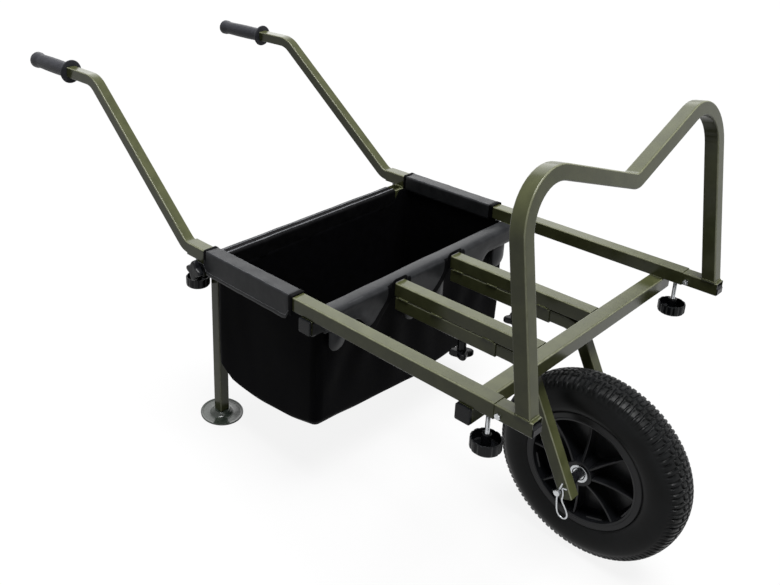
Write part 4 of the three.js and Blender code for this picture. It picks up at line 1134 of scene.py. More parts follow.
one_pitch = bmesh.new()
across_steps = round(2 * TREAD_HALF / TREAD_CELL)
along_steps = round(pitch / TREAD_CELL)
rows = []
for i in range(along_steps + 1):
    along = pitch * i / along_steps
    arc = along / WHEEL_RADIUS
    row = []
    for j in range(across_steps + 1):
        y = -TREAD_HALF + 2 * TREAD_HALF * j / across_steps
        radius, out_y, out_r = carcass_place(y)
        edge = min(1.0, (TREAD_HALF - abs(y)) / SHOULDER_FADE)
        cut = groove_depth(along % pitch, y) * PATTERN_SHARE
        lift = TREAD_DEPTH * edge - cut - TREAD_EDGE_SINK * (1 - edge)
        row.append(one_pitch.verts.new(wheel_place(radius + out_r * lift, arc, y + out_y * lift)))
    for j in range(TREAD_BACK_STEPS + 1):
        y = TREAD_HALF * TREAD_BACK_SHARE * (1 - 2 * j / TREAD_BACK_STEPS)
        radius, out_y, out_r = carcass_place(y)
        place = wheel_place(radius - out_r * TREAD_SINK, arc, y - out_y * TREAD_SINK)
        row.append(one_pitch.verts.new(place))
    rows.append(row)
skin_rows(one_pitch, rows)
pitch_mesh = bpy.data.meshes.new("tread_pitch")
one_pitch.to_mesh(pitch_mesh)
one_pitch.free()
tread = bmesh.new()
all_round = {"Copies": TREAD_PITCHES, "Axle": axle, "Material": tyre_rubber}
tread.from_mesh(grown(pitch_mesh, round_axle, all_round))
bmesh.ops.remove_doubles(tread, verts=tread.verts, dist=TREAD_CELL / 20)
bmesh.ops.recalc_face_normals(tread, faces=tread.faces)
place_piece("tyre_tread", tread, tyre_rubber, "wheel")

# The rim: one black plastic moulding, with a flat lip, a deep dish, eight flat radial fins from the hub
# to the barrel, a low pad on the barrel between each two fins, and a hub that holds the bearings.
RIM_LIP = 0.117
RIM_WIDTH = 0.078
RIM_WALL = 0.003
RIM_WEB = 0.008
HUB_RADIUS = 0.025
RIM_FINS = 8
FIN_THICKNESS = 0.0042
FIN_EDGE = 0.0008
FIN_HALF_DEPTHS = (0.045, 0.034, 0.035)
FIN_STEPS = 14
FIN_ROOT = 0.001
PAD_ROWS = 7
PAD_ROUNDNESS = 0.4
RIM_DISH = 0.012
BEARING_POCKET = ((-0.004, -0.0125), (SEAT_GAP, -0.0125), (SEAT_GAP, -0.0006), (0.001, 0))
HUB_EDGE = ((-0.0012, 0), (0, -0.0012))
HUB_FILLET = 0.004
BARREL_FILLET = 0.006
BARREL_LIP = ((0, -0.003), (0.0008, -0.0008), (0.0026, 0), (0.0046, 0), (0.0056, -0.0009))
LIP_FRONT = ((-0.0016, -0.0009), (0, -0.0024))
LIP_BACK = ((0, -0.0006), (-0.0006, -0.0012))
SEAT_BACK = 0.0012
PAD_HALF_ANGLE = math.radians(9)
PAD_HEIGHT = 0.0026
PAD_NEAR = 0.014
PAD_FAR = 0.030
RIM_BLACK = (22, 23, 25)
RIM_BLACK_WORN = (30, 31, 34)
rim_plastic = finish_of(
    "rim_moulding", "black_plastic", RIM_BLACK, RIM_BLACK_WORN,
    roughness=0.3, gleam=0.22, patch=0.02, grain=0.0009, depth=0.00003,
)

barrel = RIM_SEAT - RIM_WALL
half_rim = [
    *shifted(BEARING_RADIUS, HUB_LENGTH / 2, BEARING_POCKET),
    *shifted(HUB_RADIUS, HUB_LENGTH / 2, HUB_EDGE),
    (HUB_RADIUS, RIM_DISH),
    (HUB_RADIUS + HUB_FILLET, RIM_WEB / 2),
    (barrel - BARREL_FILLET, RIM_WEB / 2),
    (barrel, RIM_DISH),
    *shifted(barrel, RIM_WIDTH / 2, BARREL_LIP),
    *shifted(RIM_LIP, RIM_WIDTH / 2, LIP_FRONT),
    *shifted(RIM_LIP, RIM_WIDTH / 2 - RIM_WALL, LIP_BACK),
    (RIM_SEAT, RIM_WIDTH / 2 - RIM_WALL - SEAT_BACK),
]
rim_profile = half_rim + [(radius, -y) for radius, y in reversed(half_rim)]
rim = turned(rim_profile, TYRE_SEGMENTS, axle, leftward)
place_piece("rim_barrel", rim, rim_plastic, "wheel", "wheel_rim")

fin = bmesh.new()
rows = []
at_hub, midway, at_barrel = FIN_HALF_DEPTHS
for k in range(FIN_STEPS + 1):
    share = k / FIN_STEPS
    radius = HUB_RADIUS - FIN_ROOT + share * (barrel + 2 * FIN_ROOT - HUB_RADIUS)
    pull = 2 * midway - (at_hub + at_barrel) / 2
    depth = at_hub * (1 - share) ** 2 + 2 * pull * share * (1 - share) + at_barrel * share**2
    half = FIN_THICKNESS / 2
    side_reach = depth - FIN_EDGE
    face_reach = half - FIN_EDGE
    section = (
        (half, -side_reach),
        (half, side_reach),
        (face_reach, depth),
        (-face_reach, depth),
        (-half, side_reach),
        (-half, -side_reach),
        (-face_reach, -depth),
        (face_reach, -depth),
    )
    rows.append([fin.verts.new(wheel_place(radius, edge / radius, y)) for edge, y in section])
loft(fin, rows)
between = math.pi / RIM_FINS
for side in (-1, 1):
    rows = []
    for k in range(PAD_ROWS):
        angle = between + PAD_HALF_ANGLE * (2 * k / (PAD_ROWS - 1) - 1)
        crown = PAD_HEIGHT * math.sin(math.pi * (k + 1) / (PAD_ROWS + 1)) ** PAD_ROUNDNESS
        corners = (
            (barrel + FIN_ROOT, PAD_NEAR),
            (barrel + FIN_ROOT, PAD_FAR),
            (barrel - crown, PAD_FAR - crown),
            (barrel - crown, PAD_NEAR + crown),
        )
        rows.append([fin.verts.new(wheel_place(radius, angle, side * y)) for radius, y in corners])
    loft(fin, rows)
bmesh.ops.recalc_face_normals(fin, faces=fin.faces)
fin_mesh = bpy.data.meshes.new("rim_fin")
fin.to_mesh(fin_mesh)
fin.free()
fins = grown(fin_mesh, round_axle, {"Copies": RIM_FINS, "Axle": axle, "Material": rim_plastic})
place_piece("rim_fins", fins, rim_plastic, "wheel")

# The cup knobs: four hollow black hand wheels with shallow flutes, on M8 studs that clamp the front bar
# and the handles in the side rails. A knob turns with its stud.
STUD_RADIUS = 0.004
THREAD_PITCH = 0.00125
THREAD_DEPTH = 0.0006
STUD_SEGMENTS = 20
CLAMP_STUD_INSET = 0.0165
HANDLE_EDGE = 0.003
CUP_DROP = 0.080
CUP_RADIUS = 0.0265
CUP_HEIGHT = 0.022
CUP_WALL = 0.003
CUP_HUB = 0.008
CUP_HUB_STANDOUT = 0.009
CUP_FLUTES = 12
FLUTE_DEPTH = 0.0014
CUP_SEGMENTS = 144
FLUTE_REACH = 0.002
FLUTE_SHARPNESS = 1.5
CUP_BASE_EDGE = ((-0.006, 0), (-0.003, 0.0006), (-0.0009, 0.0024), (0, 0.005))
CUP_MOUTH = ((0, -0.0016), (-0.0005, -0.0004), (-0.0014, 0))
CUP_INNER_EDGE = ((0.0006, 0), (0, -0.0006))
CUP_FLOOR_EDGE = ((0, 0.002), (-0.002, 0))
CUP_HUB_FOOT = ((0.002, 0), (0.0004, 0.002))
CUP_HUB_EDGE = ((0, -0.001), (-0.001, 0))
stud_hole = STUD_RADIUS + SEAT_GAP
cup_floor = -CUP_HEIGHT + CUP_WALL
cup_profile = [
    (0, -CUP_HEIGHT),
    *shifted(CUP_RADIUS, -CUP_HEIGHT, CUP_BASE_EDGE),
    *shifted(CUP_RADIUS, 0, CUP_MOUTH),
    *shifted(CUP_RADIUS - CUP_WALL, 0, CUP_INNER_EDGE),
    *shifted(CUP_RADIUS - CUP_WALL, cup_floor, CUP_FLOOR_EDGE),
    *shifted(CUP_HUB, cup_floor, CUP_HUB_FOOT),
    *shifted(CUP_HUB, CUP_HUB_STANDOUT, CUP_HUB_EDGE),
    (stud_hole, CUP_HUB_STANDOUT),
    (stud_hole, cup_floor),
    (0, cup_floor),
]


def fluted(radius, height, angle):
    """Presses shallow flutes into the outer wall of a cup knob."""
    if radius < CUP_RADIUS - FLUTE_REACH:
        return radius, height
    wave = max(0.0, math.cos(CUP_FLUTES * angle)) ** FLUTE_SHARPNESS
    return radius - FLUTE_DEPTH * wave, height


def stud(length):
    """A threaded stud from its base up, with a small chamfer at each end."""
    ridges = int(length / THREAD_PITCH)
    profile = [(0, 0), (STUD_RADIUS - THREAD_DEPTH, 0)]
    for k in range(ridges):
        profile.append((STUD_RADIUS, (k + 0.5) * length / ridges))
        profile.append((STUD_RADIUS - THREAD_DEPTH, (k + 1) * length / ridges))
    profile.append((0, length))
    return profile


def stud_piece(node, length, base, axis, body):
    turned_piece(node, "thread", stud(length), STUD_SEGMENTS, base, axis, zinc, body)


stub_bottom = RAIL_Z - STUB_SECTION / 2 - SEAT_GAP
handle_half = HANDLE_SECTION / 2
lean_reach = handle_half * math.cos(HANDLE_LEAN) + (handle_half - HANDLE_EDGE) * math.sin(HANDLE_LEAN)
handle_bottom = RAIL_Z - lean_reach - SEAT_GAP
for side_name, sign in SIDES:
    y = sign * RAIL_Y
    for where, x, top in (
        ("front", -CLAMP_STUD_INSET, stub_bottom),
        ("rear", CLAMP_STUD_INSET - RAIL_LENGTH, handle_bottom),
    ):
        body = f"clamp_{where}_{side_name}"
        place = at(x, y, -CUP_DROP)
        node = f"clamp_knob_{where}_{side_name}"
        turned_piece(node, "cup", cup_profile, CUP_SEGMENTS, place, upward, black_plastic, body, fluted)
        base = -CUP_DROP + cup_floor + SEAT_GAP
        stud_piece(f"clamp_stud_{where}_{side_name}", top - base, at(x, y, base), upward, body)

# The star knobs: four-lobed black hand knobs on studs, two under the fork's receivers and two at the
# rear crossbar's ends that hold the legs.
STAR_RADIUS = 0.024
STAR_DEPTH = 0.009
STAR_THICKNESS = 0.013
STAR_HUB = 0.009
STAR_SEGMENTS = 96
LEG_KNOB_HUB = 0.006
FORK_KNOB_HUB = 0.022
FORK_KNOB_SETBACK = 0.083
FORK_KNOB_DROP = 0.005
STAR_LOBES = 4
LOBE_SHARPNESS = 0.8
STAR_EDGE = ((0.80, 0), (0.92, 0.0006), (0.985, 0.0022), (1, 0.0045))
STAR_FACE_SHARE = 0.45
STAR_DIMPLE = 0.0006
STAR_HUB_EDGE = 0.0008
STAR_HUB_FOOT = 0.001
STAR_HUB_TAPER = 0.94


def lobed(radius, height, angle):
    """Draws a star knob's rim in between its lobes."""
    if height >= STAR_THICKNESS and radius <= STAR_HUB:
        return radius, height
    valley = (1 + math.cos(STAR_LOBES * angle)) / 2
    return radius * (1 - STAR_DEPTH / STAR_RADIUS * valley**LOBE_SHARPNESS), height


def star_profile(hub):
    top = STAR_THICKNESS + hub
    neck = STAR_HUB * STAR_HUB_TAPER
    return [
        (0, STAR_DIMPLE),
        (STAR_RADIUS * STAR_FACE_SHARE, STAR_DIMPLE / 2),
        *((STAR_RADIUS * share, height) for share, height in STAR_EDGE),
        *((STAR_RADIUS * share, STAR_THICKNESS - height) for share, height in reversed(STAR_EDGE)),
        (STAR_HUB + STAR_HUB_EDGE, STAR_THICKNESS),
        (STAR_HUB, STAR_THICKNESS + STAR_HUB_FOOT),
        (neck, top - STAR_HUB_EDGE),
        (neck - STAR_HUB_EDGE, top),
        (stud_hole, top),
        (stud_hole, STAR_THICKNESS),
        (0, STAR_THICKNESS),
    ]


def star_piece(node, hub, place, axis, body):
    turned_piece(node, "star", star_profile(hub), STAR_SEGMENTS, place, axis, black_plastic, body, lobed)


for side_name, sign in SIDES:
    x = -RECEIVER_SETBACK - FORK_KNOB_SETBACK
    y = sign * INNER_RAIL_Y
    face_z = RECEIVER_Z - TUBE_SECTION / 2 - FORK_KNOB_DROP - FORK_KNOB_HUB - STAR_THICKNESS
    body = f"fork_clamp_{side_name}"
    star_piece(f"fork_knob_{side_name}", FORK_KNOB_HUB, at(x, y, face_z), upward, body)
    base = face_z + STAR_THICKNESS + SEAT_GAP
    top = RECEIVER_Z - FORK_SECTION / 2 - SEAT_GAP
    stud_piece(f"fork_stud_{side_name}", top - base, at(x, y, base), upward, body)

    body = f"leg_clamp_{side_name}"
    plug_face = FRAME_WIDTH / 2 + SEAT_GAP + CLAMP_PLUG_HEAD
    face_y = plug_face + SEAT_GAP + LEG_KNOB_HUB + STAR_THICKNESS
    inward = leftward * -sign
    place = at(REAR_CROSSBAR_X, sign * face_y, CROSSBAR_Z)
    star_piece(f"leg_knob_{side_name}", LEG_KNOB_HUB, place, inward, body)
    base = face_y - STAR_THICKNESS - SEAT_GAP
    length = base - LEG_Y - LEG_SECTION / 2 - SEAT_GAP
    place = at(REAR_CROSSBAR_X, sign * base, CROSSBAR_Z)
    stud_piece(f"leg_stud_{side_name}", length, place, inward, body)

# The welds: rows of small overlapping beads under the paint, where the tubes meet each other, round the
# front bar's feet and along the receivers in short stitches.
WELD_WIDTH = 0.0026
WELD_LUMP = 0.0022
WELD_STEP = 0.0021
WELD_UNEVENNESS = 0.28
WELD_SEED = 7
BEAD_SEGMENTS = 8
BEAD_RINGS = 6
STITCH_WELDS = (-0.385, -0.300, -0.180)
STITCH_WELD = 0.022
SEAM_INSET = 0.004
FOOT_SEAM_INSETS = (0.003, 0.002)
FOOT_SEAM_SIDES = (-0.97, 0.97)


def bead_tree():
    """A node tree that sets small rounded beads along the lines of a mesh."""
    inputs = {"Step": "Float", "Size": "Vector", "Unevenness": "Float"}
    tree, given, copies = copying_tree("beads_along_line", **inputs)
    line = add_node(tree, "GeometryNodeMeshToCurve")
    points = add_node(tree, "GeometryNodeCurveToPoints", mode="LENGTH")
    ball = {"Segments": BEAD_SEGMENTS, "Rings": BEAD_RINGS, "Radius": 1}
    bead = add_node(tree, "GeometryNodeMeshUVSphere", ball)
    smallest = add_node(tree, "ShaderNodeMath", {0: 1}, operation="SUBTRACT")
    chance = add_node(tree, "FunctionNodeRandomValue", {"Seed": WELD_SEED, 3: 1}, data_type="FLOAT")
    size = add_node(tree, "ShaderNodeVectorMath", operation="SCALE")
    join(
        tree,
        (given, "Geometry", line, "Mesh"),
        (line, "Curve", points, "Curve"),
        (given, "Step", points, "Length"),
        (given, "Unevenness", smallest, 1),
        (smallest, "Value", chance, 2),
        (given, "Size", size, 0),
        (chance, 1, size, "Scale"),
        (points, "Points", copies, "Points"),
        (points, "Rotation", copies, "Rotation"),
        (bead, "Mesh", copies, "Instance"),
        (size, "Vector", copies, "Scale"),
    )
    return tree


beads_along = bead_tree()


def line_mesh(runs):
    """A mesh of bare lines, one for each run of points."""
    mesh = bpy.data.meshes.new("line")
    places = [place for run in runs for place in run]
    edges = []
    first = 0
    for run in runs:
        edges += [(first + k, first + k + 1) for k in range(len(run) - 1)]
        first += len(run)
    mesh.from_pydata(places, edges, [])
    return mesh


def weld(name, runs, body):
    values = {
        "Step": WELD_STEP,
        "Size": Vector((WELD_WIDTH, WELD_WIDTH, WELD_LUMP)),
        "Unevenness": WELD_UNEVENNESS,
        "Material": olive_paint,
    }
    place_piece(name, grown(line_mesh(runs), beads_along, values), olive_paint, body)


def seam_x(y, z, x_from, x_to):
    return [at(x_from, y, z), at(x_to, y, z)]


half = TUBE_SECTION / 2
stitch_runs = []
for side_name, sign in SIDES:
    for edge in (-half, half):
        y = sign * INNER_RAIL_Y + edge
        for start in STITCH_WELDS:
            stitch_runs.append(seam_x(y, CROSSBAR_Z - half, start, start + STITCH_WELD))
    for x in (FRONT_CROSSBAR_X, MIDDLE_CROSSBAR_X, REAR_CROSSBAR_X):
        ends = (x - half + SEAM_INSET, x + half - SEAM_INSET)
        stitch_runs.append(seam_x(sign * (RAIL_Y - half), RAIL_Z - half, *ends))
    for x in (INNER_RAIL_FRONT, INNER_RAIL_REAR):
        for y in (sign * INNER_RAIL_Y - half, sign * INNER_RAIL_Y + half):
            heights = (CROSSBAR_Z - half + SEAM_INSET, CROSSBAR_Z + half - SEAM_INSET)
            stitch_runs.append([at(x, y, z) for z in heights])
weld("chassis_welds", stitch_runs, "chassis")

foot_half = STUB_SECTION / 2
slant = foot_half / math.cos(BAR_LEAN)
beside_inset, ahead_inset = FOOT_SEAM_INSETS
for side_name, sign in SIDES:
    y = sign * RAIL_Y
    runs = []
    for edge in (-1, 1):
        x = BAR_BASE_AHEAD + edge * slant
        runs.append([at(x, y + end * foot_half - end * beside_inset, STUB_TOP) for end in (-1, 1)])
    for share in FOOT_SEAM_SIDES:
        ends = [BAR_BASE_AHEAD + end * slant - end * ahead_inset for end in (-1, 1)]
        runs.append(seam_x(y + share * foot_half, STUB_TOP, *ends))
    weld(f"front_bar_weld_{side_name}", runs, "front_bar")

# The bag: a box of coated black cloth hung between the rails. Its side walls reach up to the rails, the
# walls sag and ripple a little, its lower corners are rounded, and its floor hangs lowest at the rear.
CLOTH_BLACK = (10, 10, 11)
CLOTH_BLACK_WORN = (13, 13, 15)
CLOTH_WALL = 0.0016
WEAVE = 0.0011
WEAVE_HEIGHT = 0.00012
WEAVE_STRENGTH = 0.25
WEAVE_DISTORTION = 0.4
BAG_DEPTH = 0.288
BAG_HALF_WIDTH = 0.316
BAG_REAR_X = REAR_CROSSBAR_X + TUBE_SECTION / 2 + 0.0015
BAG_FRONT_X = MIDDLE_CROSSBAR_X + 0.004
BAG_TOP_Z = CROSSBAR_Z - TUBE_SECTION / 2 - 0.001
BAG_SIDE_TOP_Z = RAIL_Z - TUBE_SECTION / 2 - 0.001
BAG_TOP_SLOPE = 0.024
BAG_FRONT_SLOPE = 0.002
BAG_FRONT_AHEAD = 0.0005
BAG_CORNER = 0.022
BAG_FLOOR_SAG = 0.031
BAG_FOOT_ROOM = 0.027
WALL_ROWS = 34
FLOOR_ROWS = 16
CORNER_POINTS = 6
ACROSS_POINTS = 30
ALONG_POINTS = 18
WALL_NEAR = 0.004
WALL_SLACK = 1.25
FLOOR_TURN = 0.012
FLOOR_TURN_SHARE = 0.25
FLOOR_SHRINK = 0.985
FLOOR_RIPPLE = 0.003
FLOOR_WAVES = (14, 14, 1)
FLOOR_SEED = 5
FRONT_LIFT = 0.030
FRONT_LIFT_FROM = 0.45
FRONT_LIFT_OVER = 0.55
REAR_LIFT = 0.007
REAR_LIFT_SHARE = 0.25
FOOT_CLEARANCE = 0.030
FOOT_EASE = 0.052
BROAD_RIPPLE = 0.010
BROAD_WAVES = (7.0, 7.0, 2.2)
BROAD_OFFSET = (3.1, 0.4, 8.0)
FINE_RIPPLE = 0.0022
FINE_WAVES = (23.0, 23.0, 9.0)
FOLD_DEPTH = 0.0025
FOLD_TURNS = 62
FOLD_DRIFT = 3
FOLD_WAVES = (5, 2, 1)


def cloth_finish(name, shade, other_shade, roughness, gleam):
    """Coated cloth: a fine square weave pressed into a drifting dark colour."""
    numbers = {"roughness": roughness, "gleam": gleam, "patch": 0.02, "grain": 0.004, "depth": 0.0002}
    material = finish_of(name, "bag_cloth", shade, other_shade, **numbers)
    tree = material.node_tree
    surface = tree.nodes["Principled BSDF"]
    skin = surface.inputs["Normal"].links[0].from_node
    place = add_node(tree, "ShaderNodeTexCoord")
    height = None
    for turn in ((0, 0, 0), (0, math.pi / 2, 0), (0, 0, math.pi / 2)):
        aim = add_node(tree, "ShaderNodeMapping", {"Rotation": turn})
        threads = add_node(
            tree,
            "ShaderNodeTexWave",
            {"Scale": 1 / WEAVE / 3, "Distortion": WEAVE_DISTORTION},
            wave_type="BANDS",
            bands_direction="X",
        )
        join(tree, (place, "Object", aim, "Vector"), (aim, "Vector", threads, "Vector"))
        if height is None:
            height = (threads, "Fac")
            continue
        both = add_node(tree, "ShaderNodeMath", operation="MULTIPLY")
        join(tree, (*height, both, 0), (threads, "Fac", both, 1))
        height = (both, "Value")
    weave = add_node(tree, "ShaderNodeBump", {"Strength": WEAVE_STRENGTH, "Distance": WEAVE_HEIGHT})
    join(
        tree,
        (*height, weave, "Height"),
        (skin, "Normal", weave, "Normal"),
        (weave, "Normal", surface, "Normal"),
    )
    return material


bag_cloth = cloth_finish("bag_cloth", CLOTH_BLACK, CLOTH_BLACK_WORN, roughness=0.55, gleam=0.013)


def bag_outline(inset, corner):
    """The bag's plan outline, counter-clockwise from the front right corner, with rounded corners."""
    x_low, x_high = BAG_REAR_X + inset, BAG_FRONT_X - inset
    y_half = BAG_HALF_WIDTH - inset
    corners = (
        (x_high - corner, -y_half + corner, -90),
        (x_high - corner, y_half - corner, 0),
        (x_low + corner, y_half - corner, 90),
        (x_low + corner, -y_half + corner, 180),
    )
    points = []
    for number, (cx, cy, start) in enumerate(corners):
        for k in range(CORNER_POINTS + 1):
            angle = math.radians(start + 90 * k / CORNER_POINTS)
            points.append((cx + corner * math.cos(angle), cy + corner * math.sin(angle)))
        next_x, next_y = corners[(number + 1) % 4][:2]
        angle = math.radians(start + 90)
        end = (next_x + corner * math.cos(angle), next_y + corner * math.sin(angle))
        last = points[-1]
        count = ACROSS_POINTS if number in (0, 2) else ALONG_POINTS
        for k in range(1, count):
            points.append(tuple(a + (b - a) * k / count for a, b in zip(last, end)))
    return points


def uneven(place, waves, offset=(0, 0, 0)):
    """A smooth random value from -1 to 1 at a place, with how closely it varies each way."""
    return noise.noise(Vector([a * b for a, b in zip(place, waves)]) + Vector(offset))


def eased(share):
    """A share from 0 to 1 that starts and ends softly."""
    held = max(0.0, min(1.0, share))
    return held * held * (3 - 2 * held)


def bag_floor_z(x, y):
    """How low the bag hangs under a place in its plan.

    The front edge is held up at its two ends, and the rear corners leave room for the feet below them.
    """
    front_share = (x - BAG_REAR_X) / (BAG_FRONT_X - BAG_REAR_X)
    side_share = abs(y) / BAG_HALF_WIDTH
    held_up = FRONT_LIFT * (max(0.0, front_share - FRONT_LIFT_FROM) / FRONT_LIFT_OVER) ** 2 * side_share
    raised_rear = REAR_LIFT * max(0.0, REAR_LIFT_SHARE - front_share) / REAR_LIFT_SHARE
    from_leg = math.hypot(x - REAR_CROSSBAR_X, abs(y) - LEG_Y)
    over_foot = BAG_FOOT_ROOM * eased((FOOT_RADIUS + FOOT_CLEARANCE - from_leg) / FOOT_EASE)
    return -BAG_DEPTH - BAG_FLOOR_SAG + held_up + raised_rear + over_foot


def bag_top_z(x, y):
    """The bag's upper edge: up under the rails at the sides, and just under the crossbars elsewhere."""
    beside = (abs(y) - BAG_HALF_WIDTH + BAG_CORNER + BAG_TOP_SLOPE) / BAG_TOP_SLOPE
    behind = (MIDDLE_CROSSBAR_X - TUBE_SECTION / 2 + BAG_FRONT_AHEAD - x) / BAG_FRONT_SLOPE
    rise = max(0.0, min(1.0, beside)) * max(0.0, min(1.0, behind))
    return BAG_TOP_Z + (BAG_SIDE_TOP_Z - BAG_TOP_Z) * rise


def ripple(x, y, z, share):
    """How far the hanging cloth stands off its flat wall at a place."""
    broad = uneven((x, y, z), BROAD_WAVES, BROAD_OFFSET)
    fine = uneven((x, y, z), FINE_WAVES)
    return share * (BROAD_RIPPLE * broad + FINE_RIPPLE * fine)


def front_fold(y, share):
    """The front wall's upright folds, which are strongest midway down."""
    phase = y * FOLD_TURNS + FOLD_DRIFT * uneven((y, share, 1), FOLD_WAVES)
    return FOLD_DEPTH * math.sin(math.pi * share) * math.sin(phase)


def thicken(item, thickness, offset=0):
    """Gives a cloth piece its thickness, ahead of its other modifiers."""
    wall = item.modifiers.new("cloth_wall", "SOLIDIFY")
    wall.thickness = thickness
    wall.offset = offset
    item.modifiers.move(len(item.modifiers) - 1, 0)


def cloth_piece(name, built, rows, material, thickness):
    """Places a sheet of cloth through rows of points."""
    skin_rows(built, rows, closed=False)
    bmesh.ops.recalc_face_normals(built, faces=built.faces)
    piece = place_piece(name, built, material, "chassis")
    thicken(piece, thickness)
    return piece


bag_shell = bmesh.new()
rings = []
centre_x = (BAG_REAR_X + BAG_FRONT_X) / 2
half_length = (BAG_FRONT_X - BAG_REAR_X) / 2
for row in range(WALL_ROWS + 1):
    share = row / WALL_ROWS
    free = math.sin(min(1.0, share * WALL_SLACK) * math.pi / 2) * (1 - 0.5 * share)
    ring = []
    for x, y in bag_outline(0, BAG_CORNER):
        bottom = bag_floor_z(x, y) + FLOOR_TURN
        top = bag_top_z(x, y)
        z = top + (bottom - top) * share
        push = ripple(x, y, z, free)
        if x > BAG_FRONT_X - WALL_NEAR:
            push += front_fold(y, share)
        if x < BAG_REAR_X + WALL_NEAR:
            push = min(push, 0)
        on_end = abs(abs(x - centre_x) - half_length) < WALL_NEAR
        on_side = abs(abs(y) - BAG_HALF_WIDTH) < WALL_NEAR
        out_x = math.copysign(1, x - centre_x) if on_end else 0
        out_y = math.copysign(1, y) if on_side else 0
        ring.append(bag_shell.verts.new(at(x + out_x * push, y + out_y * push, z)))
    rings.append(ring)
for row in range(1, FLOOR_ROWS + 1):
    share = row / FLOOR_ROWS
    turned_in = math.sin(min(1.0, share / FLOOR_TURN_SHARE) * math.pi / 2)
    inset = FLOOR_TURN * turned_in
    shrink = max(0.0, share - FLOOR_TURN_SHARE) / (1 - FLOOR_TURN_SHARE) * FLOOR_SHRINK
    ring = []
    for x, y in bag_outline(inset, max(WALL_NEAR, BAG_CORNER - inset)):
        px = centre_x + (x - centre_x) * (1 - shrink)
        py = y * (1 - shrink)
        round_up = FLOOR_TURN * (1 - turned_in)
        z = bag_floor_z(px, py) + round_up + FLOOR_RIPPLE * uneven((px, py, FLOOR_SEED), FLOOR_WAVES)
        ring.append(bag_shell.verts.new(at(px, py, z)))
    rings.append(ring)
count = len(rings[0])
for near, far in zip(rings, rings[1:]):
    for j in range(count):
        k = (j + 1) % count
        bag_shell.faces.new((near[j], far[j], far[k], near[k]))
bag_shell.faces.new(rings[-1])
bmesh.ops.recalc_face_normals(bag_shell, faces=bag_shell.faces)
shell = place_piece("bag_shell", bag_shell, bag_cloth, "chassis", "bag")
thicken(shell, CLOTH_WALL, -1)

# The sleeves: the bag's upper edges, doubled grey-black cloth that wraps over the side rails, the rear
# crossbar and the middle crossbar. They are a little loose, and their free edges are bound.
SLEEVE_BLACK = (38, 39, 41)
SLEEVE_BLACK_WORN = (46, 47, 49)
BINDING_BLACK = (9, 9, 10)
BINDING_BLACK_WORN = (15, 15, 16)
sleeve_cloth = cloth_finish("sleeve_cloth", SLEEVE_BLACK, SLEEVE_BLACK_WORN, roughness=0.36, gleam=0.12)
binding_cloth = cloth_finish("binding_tape", BINDING_BLACK, BINDING_BLACK_WORN, roughness=0.55, gleam=0.018)
THREAD_GREY = (92, 93, 96)
THREAD_GREY_WORN = (112, 113, 116)
thread = finish_of(
    "sewing_thread", "bag_cloth", THREAD_GREY, THREAD_GREY_WORN,
    roughness=0.5, gleam=0.2, patch=0.004, grain=0.0006, depth=0.00002,
)
STITCH_PITCH = 0.0036
STITCH_RADIUS = 0.0007
STITCH_HALF = 0.0013
SLEEVE_WALL = 0.0022
SLEEVE_REAR_X = BAG_REAR_X
SLEEVE_FRONT_X = -0.462
SLEEVE_DROP = 0.052
SLEEVE_CORNER = 0.016
SLEEVE_LOOSE_FROM = 0.62
SLEEVE_LOOSE_OVER = 0.38
SLEEVE_LOOSE = 0.0012
SLEEVE_SOFT = 0.0026
SLEEVE_SOFT_WAVES = (16, 2.0, 3)
SLEEVE_LIFT = 0.0009
SLEEVE_LIFT_WAVES = (40, 1, 6)
SLEEVE_INNER_DROP = 0.034
SLEEVE_TOP = 0.0017
STRIP_STEP = 0.008
WRAP_CORNER = 0.003
WRAP_RISE_STEPS = 8
WRAP_CORNER_STEPS = 4
WRAP_TOP_STEPS = 6
WRAP_FALL_STEPS = 12
TOP_STITCH_COLUMNS = (11, 19)
FLAP_STITCH_COLUMN = -3
STITCH_UNEVENNESS = 0.1
TAPE_WAVES = (90, 9, 1)
TAPE_OUTER_LIFT = 0.0006
TAPE_INNER_LIFT = 0.0004
TAPE_TOP = 0.0026
TAPE_INNER_DROP = 0.030
HEM_SPAN = (-0.001, 0.009)
REAR_TAPE_SPAN = (-0.0008, 0.0065)


def cut_size(mesh):
    """The width and length of the cut: its longest row of edges each way, from the grid it was built on."""
    places = [vertex.co for vertex in mesh.vertices]
    linked = {tuple(sorted(edge.vertices)) for edge in mesh.edges}
    row = 1
    while (row - 1, row) in linked:
        row += 1

    def length_of(run):
        return sum((places[b] - places[a]).length for a, b in zip(run, run[1:]))

    across = max(length_of(range(start, start + row)) for start in range(0, len(places) - row + 1, row))
    along = max(length_of(range(column, len(places), row)) for column in range(row))
    return across, along


def declare_sheet(piece):
    """Works out the width and length of a cloth piece's cut, on the rectangle that the piece fills; nothing
    uses them.
    """
    mesh = piece.data
    flat = cut_size(mesh)


def cloth_strip(name, section, span, place_of, material, wave, cut=None, thickness=SLEEVE_WALL):
    """A strip of cloth: a line of (across, height) points carried along a span, with soft waves.

    cut takes a share along the span and a share down the section and gives the height to lose there.
    """
    built = bmesh.new()
    steps = max(2, int(abs(span[1] - span[0]) / STRIP_STEP))
    rows = []
    for i in range(steps + 1):
        s = span[0] + (span[1] - span[0]) * i / steps
        row = []
        for j, (a, h) in enumerate(section):
            down = j / (len(section) - 1)
            push = wave(s, down)
            shift = cut(s, down) if cut else 0
            row.append(built.verts.new(place_of(s, a + push[0], h + push[1] + shift)))
        rows.append(row)
    return cloth_piece(name, built, rows, material, thickness)


